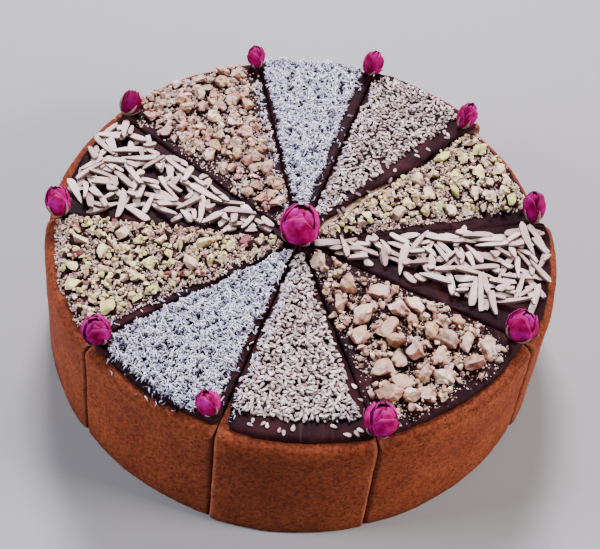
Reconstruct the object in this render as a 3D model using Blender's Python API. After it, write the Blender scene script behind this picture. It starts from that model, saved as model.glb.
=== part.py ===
"""Round sponge cake in ten cut slices, each with a chocolate top and a scattering of nuts,
seeds or coconut, and a ring of dried rosebuds over the cuts.

The cake stands on z = 0, with the origin under the middle of its outline. Lengths are in
metres, angles in degrees, counted anticlockwise from +X as seen from above.
"""
import math
import random

import bmesh
import bpy
from mathutils import Matrix, Vector, geometry, noise

# Driving dimensions
RIM_RADIUS = 0.1200          # sponge at its top edge, as baked in a 24 cm tin
BASE_RADIUS = 0.1236         # the foot of the sponge has spread a little
CAKE_HEIGHT = 0.0657
SHOULDER = 0.0048            # rounding of the browned top edge
FOOT_ROUNDING = 0.0013
CORNER_ROUNDING = 0.0028     # where a cut runs out through the crust
CRUST_WAVE = 0.0006
CUT_GAP = 0.0007             # width of a knife cut
TIP_BLUNT = 0.0016           # the slices' tips are a little worn
HUB = Vector((-0.0010, -0.0105))    # where the cuts meet, off the middle of the tin

TOUCH_GAP = 0.0003           # between one solid and the next
CHOCOLATE_THICKNESS = 0.0022
CHOCOLATE_MARGIN = 0.0002    # the chocolate stops this far from a cut
CHOCOLATE_RIM = 0.0046       # width of the bare crust ring
CHOCOLATE_WAVE = 0.0011
CHOCOLATE_EDGE = ((0.0, 0.0004), (0.4, 0.0), (1.0, 0.0009))    # share of its thickness, inset
SINK_LIMIT = 0.0005          # toppings stay this far above the chocolate's underside
LYING_HEIGHT = 0.0004        # the middle of a thin piece above the chocolate

# Heaps of small toppings: distance between the points of the heap, how far its low and high
# points stand over the chocolate, and the bare margin round it.
HEAPS = {
    "sesame": (0.0041, 0.0004, 0.0018, 0.0034),
    "coconut": (0.0044, 0.0010, 0.0040, 0.0026),
    "pistachio": (0.0060, 0.0005, 0.0026, 0.0032),
}
EDGE_PULL = (-0.0014, 0.0006)    # how far the edge of a heap wanders in and out
ROW_SPACING = 0.866              # rows of evenly spread points, as a share of their pitch

# Loose pieces on a slice: how many are tried and their length, width and thickness. Chopped
# bits have a shortest and a longest, and their width and height follow from the length.
SEED_COUNT = 8
SEED = (0.0034, 0.0021, 0.0014)
SHRED_COUNT = 14
SHRED = (0.0062, 0.0016, 0.0012)
PISTACHIO_COUNT = 16
PISTACHIO_LENGTHS = (0.0042, 0.0080)
PISTACHIO_FORM = (0.76, 0.70)
WALNUT_COUNT = 29
WALNUT_PEBBLES = 13
WALNUT_LENGTHS = (0.0052, 0.0116)
WALNUT_FORM = (0.80, 0.68)
ALMOND_COUNT = 27
ALMOND_LENGTHS = (0.0125, 0.0200)
ALMOND_WIDTHS = (0.0034, 0.0046)
ALMOND_THICKNESSES = (0.0022, 0.0030)
ALMOND_STATIONS = ((-0.5, 0.30), (0.04, 1.0), (0.5, 0.34))    # place along it, share of its width

# The rim angle of each cut, and the slice that follows it: its topping, how far it stands
# out or in, how much taller or lower it is and how much wider its bare crust ring is.
SLICES = [
    (-102.5, "sesame", 0.0010, 0.0000, 0.0006),
    (-69.5, "walnut", 0.0003, 0.0000, 0.0004),
    (-26.2, "almond", 0.0012, 0.0000, -0.0006),
    (10.6, "pistachio", -0.0022, -0.0016, 0.0000),
    (45.0, "sesame", 0.0018, 0.0006, 0.0002),
    (76.4, "coconut", 0.0003, 0.0000, 0.0000),
    (107.5, "walnut", 0.0000, 0.0000, 0.0004),
    (149.5, "almond", -0.0004, 0.0000, 0.0008),
    (185.8, "pistachio", 0.0004, 0.0000, 0.0012),
    (223.5, "coconut", 0.0000, 0.0000, 0.0002),
]

# Rosebuds, each over the cut that its slice starts with: where its middle lies, its width and
# length, the way it leans and how far it leans.
ROSEBUDS = [
    (-0.0296, -0.1071, 0.0108, 0.0132, 140, 16),
    (0.0414, -0.1059, 0.0138, 0.0158, 110, 10),
    (0.0995, -0.0504, 0.0136, 0.0150, 60, 22),
    (0.1083, 0.0213, 0.0108, 0.0170, 130, 20),
    (0.0759, 0.0793, 0.0106, 0.0162, 35, 12),
    (0.0258, 0.1103, 0.0114, 0.0146, 50, 24),
    (-0.0365, 0.1058, 0.0098, 0.0150, 90, 4),
    (-0.0934, 0.0600, 0.0104, 0.0136, 60, 52),
    (-0.1132, -0.0105, 0.0122, 0.0160, 115, 14),
    (-0.0811, -0.0784, 0.0130, 0.0148, 240, 8),
]
CENTRE_ROSEBUD = (-0.0015, -0.0093, 0.0182, 0.0200, 90, 8)
BUD_PROFILE = (              # share of its length, share of its half width
    (0.0, 0.30), (0.13, 0.78), (0.38, 1.0), (0.68, 0.90), (0.90, 0.60), (1.0, 0.36), (0.90, 0.16),
)
BUD_SIDES = 9
PETAL_LAP = 0.13             # how far one petal stands over the next, as a share of the radius
PETAL_TIP = 0.05             # how much the petals' tips differ, as a share of the length
SEPALS = 3

COLOURS = {
    "sponge": (0.42, 0.16, 0.045, 0.78),
    "sesame": (0.07, 0.035, 0.028, 0.42),
    "walnut": (0.08, 0.038, 0.030, 0.42),
    "almond": (0.09, 0.040, 0.032, 0.42),
    "pistachio": (0.07, 0.040, 0.028, 0.42),
    "coconut": (0.08, 0.042, 0.040, 0.42),
    "rosebud": (0.48, 0.020, 0.20, 0.62),
}


# Helpers
def material(name, red, green, blue, roughness):
    surface = bpy.data.materials.new(name)
    surface.use_nodes = True
    shader = surface.node_tree.nodes["Principled BSDF"]
    shader.inputs["Base Color"].default_value = (red, green, blue, 1.0)
    shader.inputs["Roughness"].default_value = roughness
    shader.inputs["Metallic"].default_value = 0.0
    return surface


def solid(name, vertices, faces, surface=None):
    mesh = bpy.data.meshes.new(name)
    mesh.from_pydata([tuple(v) for v in vertices], [], faces)
    shape = bmesh.new()
    shape.from_mesh(mesh)
    bmesh.ops.recalc_face_normals(shape, faces=shape.faces)
    shape.to_mesh(mesh)
    shape.free()
    if surface:
        mesh.materials.append(surface)
    body = bpy.data.objects.new(name, mesh)
    bpy.context.scene.collection.objects.link(body)
    return body


def smooth_round_faces(body, angle):
    body.data.shade_smooth()
    body.data.set_sharp_from_angle(angle=math.radians(angle))


def stacked_rings(rings):
    """Vertices and faces of a closed body whose rings all have the same number of points."""
    count = len(rings[0])
    vertices = [point for ring in rings for point in ring]
    faces = [list(range(count))[::-1]]
    for level in range(len(rings) - 1):
        low = level * count
        high = low + count
        for i in range(count):
            j = (i + 1) % count
            faces.append([low + i, low + j, high + j, high + i])
    top = (len(rings) - 1) * count
    faces.append([top + i for i in range(count)])
    return vertices, faces


def fuse(core, pieces):
    """One union of the core with everything that lies on it, keeping the one outer body."""
    group = bpy.data.collections.new(core.name + "_pieces")
    bpy.context.scene.collection.children.link(group)
    for piece in pieces:
        group.objects.link(piece)
    union = core.modifiers.new("union", "BOOLEAN")
    union.operation = "UNION"
    union.operand_type = "COLLECTION"
    union.collection = group
    union.solver = "EXACT"
    graph = bpy.context.evaluated_depsgraph_get()
    joined = bpy.data.meshes.new_from_object(core.evaluated_get(graph))
    core.modifiers.clear()
    core.data = joined
    for piece in pieces:
        bpy.data.objects.remove(piece)
    bpy.data.collections.remove(group)
    keep_outer_body(core)


def keep_outer_body(body):
    """Drops loose scraps and the shells of sealed hollows."""
    shape = bmesh.new()
    shape.from_mesh(body.data)
    bmesh.ops.triangulate(shape, faces=shape.faces)
    bmesh.ops.dissolve_degenerate(shape, dist=1e-6, edges=shape.edges)
    bmesh.ops.triangulate(shape, faces=shape.faces)
    waiting = set(shape.faces)
    shells = []
    while waiting:
        start = waiting.pop()
        shell = [start]
        queue = [start]
        while queue:
            face = queue.pop()
            for edge in face.edges:
                for other in edge.link_faces:
                    if other in waiting:
                        waiting.remove(other)
                        shell.append(other)
                        queue.append(other)
        shells.append(shell)
    shells.sort(key=len, reverse=True)
    scraps = [face for shell in shells[1:] for face in shell]
    bmesh.ops.delete(shape, geom=scraps, context="FACES")
    loose = [vertex for vertex in shape.verts if not vertex.link_faces]
    bmesh.ops.delete(shape, geom=loose, context="VERTS")
    shape.to_mesh(body.data)
    shape.free()


# The outline of a slice
def cut_side(rim_angle, side):
    """A point on one face of a cut, its outward direction and the way into the slice."""
    turn = math.radians(rim_angle)
    rim = Vector((math.cos(turn), math.sin(turn))) * RIM_RADIUS
    outward = (rim - HUB).normalized()
    inward = Vector((-outward.y, outward.x)) * side
    return HUB + inward * (CUT_GAP / 2), outward, inward


def meet_circle(start, direction, radius):
    """Where a line from near the hub runs out through a circle round the origin."""
    half = start.dot(direction)
    rest = start.dot(start) - radius * radius
    return start + direction * (math.sqrt(half * half - rest) - half)


def meet_line(start_a, along_a, start_b, along_b):
    turn = along_a.x * along_b.y - along_a.y * along_b.x
    gap = start_b - start_a
    reach = (gap.x * along_b.y - gap.y * along_b.x) / turn
    return start_a + along_a * reach


class Slice:
    """The wedge between two cuts, and where its edges run at any inset and height."""

    def __init__(self, number):
        self.number = number
        angle, self.topping, self.reach, self.lift, self.bare = SLICES[number]
        next_angle = SLICES[(number + 1) % len(SLICES)][0]
        if next_angle < angle:
            next_angle += 360
        self.right = cut_side(angle, 1)
        self.left = cut_side(next_angle, -1)
        self.height = CAKE_HEIGHT + self.lift
        self.top = self.height + TOUCH_GAP + CHOCOLATE_THICKNESS

    def sides(self, inset):
        sides = []
        for start, outward, inward in (self.right, self.left):
            sides.append((start + inward * inset, outward))
        return sides

    def outline(self, radius, inset, arc_steps, rounding, tip, wave=0.0, level=0.0):
        """Points round the wedge, from the tip along the right cut to the rim and back."""
        (start_a, out_a), (start_b, out_b) = self.sides(inset)
        point = meet_line(start_a, out_a, start_b, out_b)
        corner_a = meet_circle(start_a, out_a, radius)
        corner_b = meet_circle(start_b, out_b, radius)
        angle_a = math.atan2(corner_a.y, corner_a.x)
        angle_b = math.atan2(corner_b.y, corner_b.x)
        if angle_b < angle_a:
            angle_b += math.tau
        trim = rounding / radius
        arc = []
        for step in range(arc_steps + 1):
            turn = angle_a + trim + (angle_b - angle_a - 2 * trim) * step / arc_steps
            ripple = noise.noise(Vector((math.cos(turn) * 4, math.sin(turn) * 4, level * 30)))
            arc.append(Vector((math.cos(turn), math.sin(turn))) * (radius + wave * ripple))
        points = [point + out_a * tip, corner_a - out_a * rounding]
        points.append(points[1] * 0.25 + corner_a * 0.5 + arc[0] * 0.25)
        points.extend(arc)
        before = corner_b - out_b * rounding
        points.append(arc[-1] * 0.25 + corner_b * 0.5 + before * 0.25)
        points.extend([before, point + out_b * tip])
        return points

    def distance_to_cuts(self, place):
        return min((place - start).dot(inward) for start, _, inward in (self.right, self.left))

    def chocolate_radius(self):
        return RIM_RADIUS + self.reach - CHOCOLATE_RIM - self.bare


# Sponge and chocolate
def sponge(piece, surface):
    shoulder_start = piece.height - SHOULDER
    levels = [(0.0, FOOT_ROUNDING), (FOOT_ROUNDING, 0.0)]
    for share in (0.3, 0.62, 1.0):
        levels.append((shoulder_start * share, 0.0))
    for turn in (32, 62, 90):
        rise = math.sin(math.radians(turn))
        level = shoulder_start + SHOULDER * rise
        levels.append((level, SHOULDER * (1 - math.cos(math.radians(turn)))))
    rings = []
    for level, inset in levels:
        spread = BASE_RADIUS + (RIM_RADIUS - BASE_RADIUS) * level / piece.height
        flat = piece.outline(spread + piece.reach - inset, 0.0, 5, CORNER_ROUNDING,
                             TIP_BLUNT, CRUST_WAVE, level)
        rings.append([Vector((p.x, p.y, level)) for p in flat])
    body = solid("slice_%02d" % (piece.number + 1), *stacked_rings(rings), surface)
    smooth_round_faces(body, 32)
    return body


def chocolate(piece, surface):
    base = piece.height + TOUCH_GAP
    rings = []
    for rise, inset in CHOCOLATE_EDGE:
        flat = piece.outline(piece.chocolate_radius() - inset, CHOCOLATE_MARGIN + inset, 7,
                             0.0030, 0.0010, CHOCOLATE_WAVE, piece.number)
        rings.append([Vector((p.x, p.y, base + CHOCOLATE_THICKNESS * rise)) for p in flat])
    return solid("icing_%02d" % (piece.number + 1), *stacked_rings(rings), surface)


# Small pieces
def placed(name, vertices, faces, piece, turn, place, height):
    """A small piece, turned and set on its slice with no point below the sink limit."""
    lowest = piece.height + TOUCH_GAP + SINK_LIMIT
    points = []
    for vertex in vertices:
        point = turn @ Vector(vertex) + Vector((place.x, place.y, height))
        point.z = max(point.z, lowest)
        points.append(point)
    return solid(name, points, faces)


def pebble(rng, length, width, height):
    """An uneven chopped bit with twenty faces."""
    shape = bmesh.new()
    bmesh.ops.create_icosphere(shape, subdivisions=1, radius=0.5)
    points = []
    for vertex in shape.verts:
        swell = rng.uniform(0.74, 1.2)
        points.append(Vector((vertex.co.x * length, vertex.co.y * width, vertex.co.z * height)) * swell)
    faces = [[vertex.index for vertex in face.verts] for face in shape.faces]
    shape.free()
    return points, faces


def chip(rng, length, width, height):
    """A chopped bit with cut sides, like a skewed block."""
    points = []
    for z in (-1, 1):
        for x, y in ((-1, -1), (1, -1), (1, 1), (-1, 1)):
            shrink = rng.uniform(0.55, 1.1)
            points.append(Vector((x * length, y * width, z * height)) * (shrink / 2))
    faces = [[0, 3, 2, 1], [4, 5, 6, 7], [0, 1, 5, 4], [1, 2, 6, 5], [2, 3, 7, 6], [3, 0, 4, 7]]
    return points, faces


def sliver(rng, length, width, thickness):
    """A split almond: flat, broad in the middle and pointed at its ends."""
    bend = rng.uniform(-0.05, 0.05) * length
    rings = []
    for along, size in ALMOND_STATIONS:
        x = along * length
        y = bend * (1 - 4 * along * along)
        half = width * size / 2
        deep = thickness * (0.5 + 0.5 * size) / 2
        low = [(x, y - half, -deep), (x, y + half, -deep)]
        high = [(x, y + half, deep), (x, y - half, deep)]
        rings.append(low + high)
    return stacked_rings(rings)


def seed(length, width, thickness):
    """A sesame seed: a flat drop, round at one end and pointed at the other."""
    rings = []
    for along, size in ((-0.5, 0.5), (-0.15, 1.0), (0.5, 0.2)):
        ring = []
        for step in range(5):
            turn = math.tau * step / 5
            across = math.cos(turn) * width * size / 2
            up = math.sin(turn) * thickness * (0.4 + 0.6 * size) / 2
            ring.append((along * length, across, up))
        rings.append(ring)
    return stacked_rings(rings)


def shred(length, width, thickness):
    """A short strip of coconut with cut ends."""
    rings = []
    for along, size in ((-0.5, 0.6), (0.5, 1.0)):
        half = width * size / 2
        ring = [(along * length, -half, -thickness / 2), (along * length, half, -thickness / 2)]
        ring.append((along * length, 0.0, thickness / 2))
        rings.append(ring)
    return stacked_rings(rings)


# Where the pieces lie
def near_rosebud(place, clearance):
    for x, y, width, length, _, lean in ROSEBUDS + [CENTRE_ROSEBUD]:
        sway = math.sin(math.radians(lean)) * length / 2
        reach = width * 0.62 + sway + clearance
        if (place - Vector((x, y))).length < reach:
            return True
    return False


def inside(piece, place, margin, rim_margin):
    if piece.distance_to_cuts(place) < CHOCOLATE_MARGIN + margin:
        return False
    return place.length < piece.chocolate_radius() - CHOCOLATE_WAVE - rim_margin


def scatter(piece, rng, sizes, spacing, margin):
    """Even places for pieces of the given lengths, the largest first."""
    spots = []
    for size in sorted(sizes, reverse=True):
        for _ in range(220):
            radius = piece.chocolate_radius() * math.sqrt(rng.random())
            middle = math.radians(SLICES[piece.number][0]) + rng.uniform(-0.3, 1.05)
            place = Vector((math.cos(middle), math.sin(middle))) * radius
            if not inside(piece, place, margin + size * 0.36, size * 0.34):
                continue
            if near_rosebud(place, size * 0.5 + 0.0008):
                continue
            if all((place - spot).length > (size + other) / 2 * spacing for spot, other in spots):
                spots.append((place, size))
                break
    return spots


def turned(rng, tilt):
    heading = Matrix.Rotation(rng.uniform(0, math.tau), 3, "Z")
    lean = Matrix.Rotation(math.radians(rng.uniform(-tilt, tilt)), 3, "Y")
    roll = Matrix.Rotation(math.radians(rng.uniform(-tilt, tilt)), 3, "X")
    return heading @ lean @ roll


def bed(piece, rng, pitch, low, high, margin):
    """A heap with an uneven top, whose edge runs down to the chocolate."""
    edge = []
    reach = piece.chocolate_radius() - CHOCOLATE_WAVE - margin * 0.5
    ring = piece.outline(reach, CHOCOLATE_MARGIN + margin, 6, 0.004, 0.006)
    for i, point in enumerate(ring):
        following = ring[(i + 1) % len(ring)]
        steps = max(1, round((following - point).length / (pitch * 1.9)))
        for step in range(steps):
            spot = point.lerp(following, step / steps)
            pull = (spot - HUB).normalized() * rng.uniform(*EDGE_PULL)
            edge.append(spot + pull)
    border = len(edge)
    columns = int(2 * RIM_RADIUS / pitch)
    points = list(edge)
    for row in range(int(columns / ROW_SPACING)):
        for column in range(columns):
            x = -RIM_RADIUS + (column + 0.5 * (row % 2)) * pitch
            y = -RIM_RADIUS + row * pitch * ROW_SPACING
            place = Vector((x + rng.uniform(-0.3, 0.3) * pitch, y + rng.uniform(-0.3, 0.3) * pitch))
            if piece.distance_to_cuts(place) < CHOCOLATE_MARGIN + margin + pitch * 0.45:
                continue
            if place.length > reach - pitch * 0.6:
                continue
            if min((place - spot).length for spot in edge) > pitch * 0.55:
                points.append(place)
    loop = [list(range(border))]
    filled = geometry.delaunay_2d_cdt(points, [], loop, 1, 1e-7)
    flat = filled[0]
    faces = filled[2]
    sunk = piece.top - 0.0003
    vertices = []
    for index, place in enumerate(flat):
        rise = sunk
        if index >= border and not near_rosebud(place, 0.0016):
            rise = piece.top + (low if rng.random() < 0.5 else high) * rng.uniform(0.75, 1.25)
        vertices.append(Vector((place.x, place.y, rise)))
    count = len(vertices)
    foot = piece.height + TOUCH_GAP + SINK_LIMIT
    for index in range(border):
        vertices.append(Vector((flat[index].x, flat[index].y, foot)))
    triangles = [list(face) for face in faces]
    for i in range(border):
        j = (i + 1) % border
        triangles.append([i, count + i, count + j, j])
    triangles.append([count + i for i in range(border)])
    return solid("bed", vertices, triangles)


# Toppings
def sesame(piece, rng):
    length, width, thickness = SEED
    pieces = [bed(piece, rng, *HEAPS["sesame"])]
    for place, size in scatter(piece, rng, [length] * SEED_COUNT, 3.0, 0.0002):
        points, faces = seed(size, width, thickness)
        height = piece.top + LYING_HEIGHT
        pieces.append(placed("seed", points, faces, piece, turned(rng, 12), place, height))
    return pieces


def coconut(piece, rng):
    length, width, thickness = SHRED
    pieces = [bed(piece, rng, *HEAPS["coconut"])]
    for place, size in scatter(piece, rng, [length] * SHRED_COUNT, 1.6, 0.0002):
        points, faces = shred(size, width, thickness)
        height = piece.top + LYING_HEIGHT
        pieces.append(placed("shred", points, faces, piece, turned(rng, 14), place, height))
    return pieces


def pistachio(piece, rng):
    width, thickness = PISTACHIO_FORM
    pieces = [bed(piece, rng, *HEAPS["pistachio"])]
    sizes = [rng.uniform(*PISTACHIO_LENGTHS) for _ in range(PISTACHIO_COUNT)]
    for place, size in scatter(piece, rng, sizes, 1.02, 0.0004):
        points, faces = chip(rng, size, size * width, size * thickness)
        height = piece.top + size * 0.32
        pieces.append(placed("bit", points, faces, piece, turned(rng, 30), place, height))
    return pieces


def walnut(piece, rng):
    width, thickness = WALNUT_FORM
    pieces = []
    sizes = [rng.uniform(*WALNUT_LENGTHS) for _ in range(WALNUT_COUNT)]
    for number, (place, size) in enumerate(scatter(piece, rng, sizes, 0.86, 0.0004)):
        shape = pebble if number < WALNUT_PEBBLES else chip
        points, faces = shape(rng, size, size * width, size * thickness)
        height = piece.top + size * 0.17
        pieces.append(placed("chunk", points, faces, piece, turned(rng, 35), place, height))
    return pieces


def almond(piece, rng):
    pieces = []
    sizes = [rng.uniform(*ALMOND_LENGTHS) for _ in range(ALMOND_COUNT)]
    for number, (place, size) in enumerate(scatter(piece, rng, sizes, 0.50, 0.0004)):
        width = rng.uniform(*ALMOND_WIDTHS)
        points, faces = sliver(rng, size, width, rng.uniform(*ALMOND_THICKNESSES))
        lean = math.radians(rng.uniform(2, 6) if number % 2 else rng.uniform(8, 15))
        heading = Matrix.Rotation(rng.uniform(0, math.tau), 3, "Z")
        turn = heading @ Matrix.Rotation(lean, 3, "Y")
        height = piece.top + math.sin(lean) * size / 2 * 0.8
        pieces.append(placed("sliver", points, faces, piece, turn, place, height))
    return pieces


TOPPINGS = {
    "sesame": sesame,
    "walnut": walnut,
    "almond": almond,
    "pistachio": pistachio,
    "coconut": coconut,
}


# Rosebuds
def rosebud(name, spec, number, floor, surface):
    """A shut bud: three petals lap over each other up its side, with sepals round its foot."""
    x, y, width, length, heading, lean = spec
    rng = random.Random(400 + number)
    phase = rng.uniform(0, math.tau)
    rings = []
    for along, size in BUD_PROFILE:
        ring = []
        for step in range(BUD_SIDES):
            turn = math.tau * step / BUD_SIDES + phase
            lap = (step % 3) / 2 - 0.5
            swell = 1 + PETAL_LAP * lap * min(1.0, along * 2.2)
            tip = PETAL_TIP * lap * length if along > 0.8 else 0.0
            radius = width / 2 * size * swell
            ring.append((math.cos(turn) * radius, math.sin(turn) * radius, along * length + tip))
        rings.append(ring)
    bud = solid(name, *stacked_rings(rings), surface)
    sepals = []
    for step in range(SEPALS):
        turn = phase + math.tau * (step + rng.uniform(-0.2, 0.2)) / SEPALS
        outward = Vector((math.cos(turn), math.sin(turn), 0.0))
        across = Vector((-outward.y, outward.x, 0.0)) * width * 0.17
        foot = outward * width * 0.30 + Vector((0, 0, length * 0.08))
        tip = outward * width * rng.uniform(0.56, 0.66)
        tip += Vector((0, 0, length * rng.uniform(0.55, 0.80)))
        back = outward * width * 0.50 + Vector((0, 0, length * 0.22))
        corners = [foot - across, foot + across, back, tip]
        sepals.append(solid("sepal", corners, [[0, 1, 2], [0, 2, 3], [1, 3, 2], [0, 3, 1]]))
    fuse(bud, sepals)
    smooth_round_faces(bud, 34)
    spin = Matrix.Rotation(math.radians(heading), 3, "Z") @ Matrix.Rotation(math.radians(lean), 3, "Y")
    lowest = min((spin @ vertex.co).z for vertex in bud.data.vertices)
    middle = spin @ Vector((0, 0, length * 0.45))
    bud.rotation_euler = spin.to_euler()
    bud.location = (x - middle.x, y - middle.y, floor + TOUCH_GAP - lowest)
    return bud


# Assembly
for old in list(bpy.data.objects):
    bpy.data.objects.remove(old)

bodies = []
surfaces = {name: material(name + "_top", *values) for name, values in COLOURS.items()}
wedges = [Slice(number) for number in range(len(SLICES))]
for wedge in wedges:
    bodies.append(sponge(wedge, surfaces["sponge"]))
    icing = chocolate(wedge, surfaces[wedge.topping])
    fuse(icing, TOPPINGS[wedge.topping](wedge, random.Random(70 + wedge.number)))
    smooth_round_faces(icing, 30)
    bodies.append(icing)
for number, spec in enumerate(ROSEBUDS):
    floor = max(wedges[number - 1].top, wedges[number].top)
    bodies.append(rosebud("rosebud_%02d" % (number + 1), spec, number, floor, surfaces["rosebud"]))
highest = max(wedge.top for wedge in wedges)
bodies.append(rosebud("rosebud_centre", CENTRE_ROSEBUD, len(ROSEBUDS), highest, surfaces["rosebud"]))

bpy.context.view_layer.update()
corners = [body.matrix_world @ vertex.co for body in bodies for vertex in body.data.vertices]
middle = Vector((0, 0, 0))
for axis in (0, 1):
    spread = [corner[axis] for corner in corners]
    middle[axis] = (min(spread) + max(spread)) / 2
for body in bodies:
    body.location -= middle
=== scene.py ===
import math
import random

import bmesh
import bpy
import numpy as np
from mathutils import Matrix, Vector, geometry, noise
from mathutils.bvhtree import BVHTree


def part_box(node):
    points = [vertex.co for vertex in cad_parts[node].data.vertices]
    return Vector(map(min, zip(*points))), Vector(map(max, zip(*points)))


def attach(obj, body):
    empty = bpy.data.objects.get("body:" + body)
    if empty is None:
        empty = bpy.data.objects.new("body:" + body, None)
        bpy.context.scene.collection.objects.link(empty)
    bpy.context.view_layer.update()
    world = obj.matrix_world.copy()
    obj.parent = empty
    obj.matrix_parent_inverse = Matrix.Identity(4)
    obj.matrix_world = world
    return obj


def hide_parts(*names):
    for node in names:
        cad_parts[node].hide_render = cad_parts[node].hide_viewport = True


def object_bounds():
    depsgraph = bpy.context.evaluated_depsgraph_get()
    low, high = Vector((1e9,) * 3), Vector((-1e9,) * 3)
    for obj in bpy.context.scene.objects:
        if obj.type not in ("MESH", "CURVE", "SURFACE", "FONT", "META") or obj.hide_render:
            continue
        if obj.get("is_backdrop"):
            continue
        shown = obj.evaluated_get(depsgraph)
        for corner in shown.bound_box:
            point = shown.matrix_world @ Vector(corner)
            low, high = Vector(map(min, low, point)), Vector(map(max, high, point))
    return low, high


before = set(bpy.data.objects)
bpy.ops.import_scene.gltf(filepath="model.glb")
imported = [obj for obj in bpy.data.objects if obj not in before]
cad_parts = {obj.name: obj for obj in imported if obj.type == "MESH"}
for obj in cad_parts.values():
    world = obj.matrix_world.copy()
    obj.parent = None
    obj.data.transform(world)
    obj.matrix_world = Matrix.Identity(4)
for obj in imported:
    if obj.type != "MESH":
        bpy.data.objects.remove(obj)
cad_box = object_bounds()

# Sponge slices
# Ten wedges of one plain sponge, baked in a 24 cm tin, turned out and cut with a long knife
# from one hub. The crust is browned and finely pored, with painted shade darkening it at its
# foot and over its rounded top edge; the cut faces show pale crumb. Each wedge is its own
# piece and still stands in its place.
TIN_MIDDLE = Vector((-0.00078, 0.00038))
HUB = TIN_MIDDLE + Vector((-0.0010, -0.0105))
RIM_RADIUS = 0.1200
BASE_RADIUS = 0.1236
CAKE_HEIGHT = 0.0657
SHOULDER = 0.0048
FOOT = 0.0014
CUT_GAP = 0.0007
CHOCOLATE_RIM = 0.0046
SCRAPED_SLICE = 4
WHITE = (1.0, 1.0, 1.0)
BLACK = (0.0, 0.0, 0.0)
# rim angle of the cut, topping, how far the slice stands out, how much taller it is, and
# how much wider its bare crust ring is
SLICES = [
    (-102.5, "sesame", 0.0010, 0.0000, 0.0006),
    (-69.5, "walnut", 0.0003, 0.0000, 0.0004),
    (-26.2, "almond", 0.0012, 0.0000, -0.0006),
    (10.6, "pistachio", -0.0022, -0.0016, 0.0000),
    (45.0, "sesame", 0.0018, 0.0006, 0.0002),
    (76.4, "coconut", 0.0003, 0.0000, 0.0000),
    (107.5, "walnut", 0.0000, 0.0000, 0.0004),
    (149.5, "almond", -0.0004, 0.0000, 0.0008),
    (185.8, "pistachio", 0.0004, 0.0000, 0.0012),
    (223.5, "coconut", 0.0000, 0.0000, 0.0002),
]


def node(tree, kind, inputs=None, **options):
    """Adds a node, sets its options, and sets its inputs or links them to other sockets."""
    made = tree.nodes.new(kind)
    for option, value in options.items():
        setattr(made, option, value)
    for name, value in (inputs or {}).items():
        if isinstance(value, bpy.types.NodeSocket):
            tree.links.new(value, made.inputs[name])
        else:
            made.inputs[name].default_value = value
    return made


def ramp(tree, factor, *stops):
    """A colour ramp through (position, colour) stops."""
    made = node(tree, "ShaderNodeValToRGB", {0: factor})
    elements = made.color_ramp.elements
    while len(elements) < len(stops):
        elements.new(0.5)
    for element, (position, colour) in zip(elements, stops):
        element.position = position
        element.color = (*colour, 1.0)
    return made.outputs[0]


def mix(tree, factor, first, second, blend="MIX"):
    made = node(tree, "ShaderNodeMix", data_type="RGBA", blend_type=blend)
    for slot, value in ((0, factor), (6, first), (7, second)):
        if isinstance(value, bpy.types.NodeSocket):
            tree.links.new(value, made.inputs[slot])
        else:
            made.inputs[slot].default_value = value if slot == 0 else (*value, 1.0)
    return made.outputs[2]


def calc(tree, operation, first, second=0.0):
    return node(tree, "ShaderNodeMath", {0: first, 1: second}, operation=operation).outputs[0]


def times(tree, first, *others):
    for other in others:
        first = calc(tree, "MULTIPLY", first, other)
    return first


def plus(tree, first, *others):
    for other in others:
        first = calc(tree, "ADD", first, other)
    return first


def parts_of(tree, vector):
    return tuple(node(tree, "ShaderNodeSeparateXYZ", {0: vector}).outputs)


def mottle(tree, place, scale, detail, **more):
    """Soft random patches, as a value round 0.5 at each place."""
    inputs = {"Vector": place, "Scale": scale, "Detail": detail, **more}
    return node(tree, "ShaderNodeTexNoise", inputs).outputs[0]


def stored(tree, name, kind="Fac"):
    """What the mesh carries at its points under a name."""
    return node(tree, "ShaderNodeAttribute", attribute_name=name).outputs[kind]


def scaled(tree, value, low, high, to_low=0.0, to_high=1.0):
    """A value moved from one range to another, and kept inside it."""
    inputs = {"Value": value, "From Min": low, "From Max": high, "To Min": to_low, "To Max": to_high}
    return node(tree, "ShaderNodeMapRange", inputs).outputs[0]


def tinted(tree, coloured, tint, share=1.0):
    return mix(tree, share, coloured, tint, "MULTIPLY")


def shaded(tree, coloured, share, value, low, dark, high):
    """A colour darkened where a value is low, and left alone where it is high."""
    return tinted(tree, coloured, ramp(tree, value, (low, dark), (high, WHITE)), share)


def new_finish(name, roughness, sheen=0.5):
    """A material, its tree, its shader and the piece's own coordinates in metres."""
    finish = bpy.data.materials.new(name)
    finish.use_nodes = True
    tree = finish.node_tree
    shader = tree.nodes["Principled BSDF"]
    shader.inputs["Roughness"].default_value = roughness
    shader.inputs["Specular IOR Level"].default_value = sheen
    return finish, tree, shader, node(tree, "ShaderNodeTexCoord").outputs["Object"]


def paint(tree, shader, coloured):
    tree.links.new(coloured, shader.inputs["Base Color"])


def roughen(tree, shader, strength, distance, height):
    """Fine relief that only the light shows."""
    bump = node(tree, "ShaderNodeBump", {"Strength": strength, "Distance": distance, "Height": height})
    tree.links.new(bump.outputs[0], shader.inputs["Normal"])


def tie(piece, slot, *nodes):
    """Hangs a piece under the root and hides the solids that it takes the place of."""
    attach(piece, "root")
    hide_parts(*nodes)


def set_in_place(mesh, slot, solid):
    piece = bpy.data.objects.new(mesh.name, mesh)
    bpy.context.scene.collection.objects.link(piece)
    tie(piece, slot, solid)
    return piece


def limited(value):
    return min(1.0, max(0.0, value))


def patchiness(spot, scale, layer):
    """A soft random value between -1 and 1 that changes over the cake."""
    return noise.noise(Vector((spot.x * scale, spot.y * scale, layer)))


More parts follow.
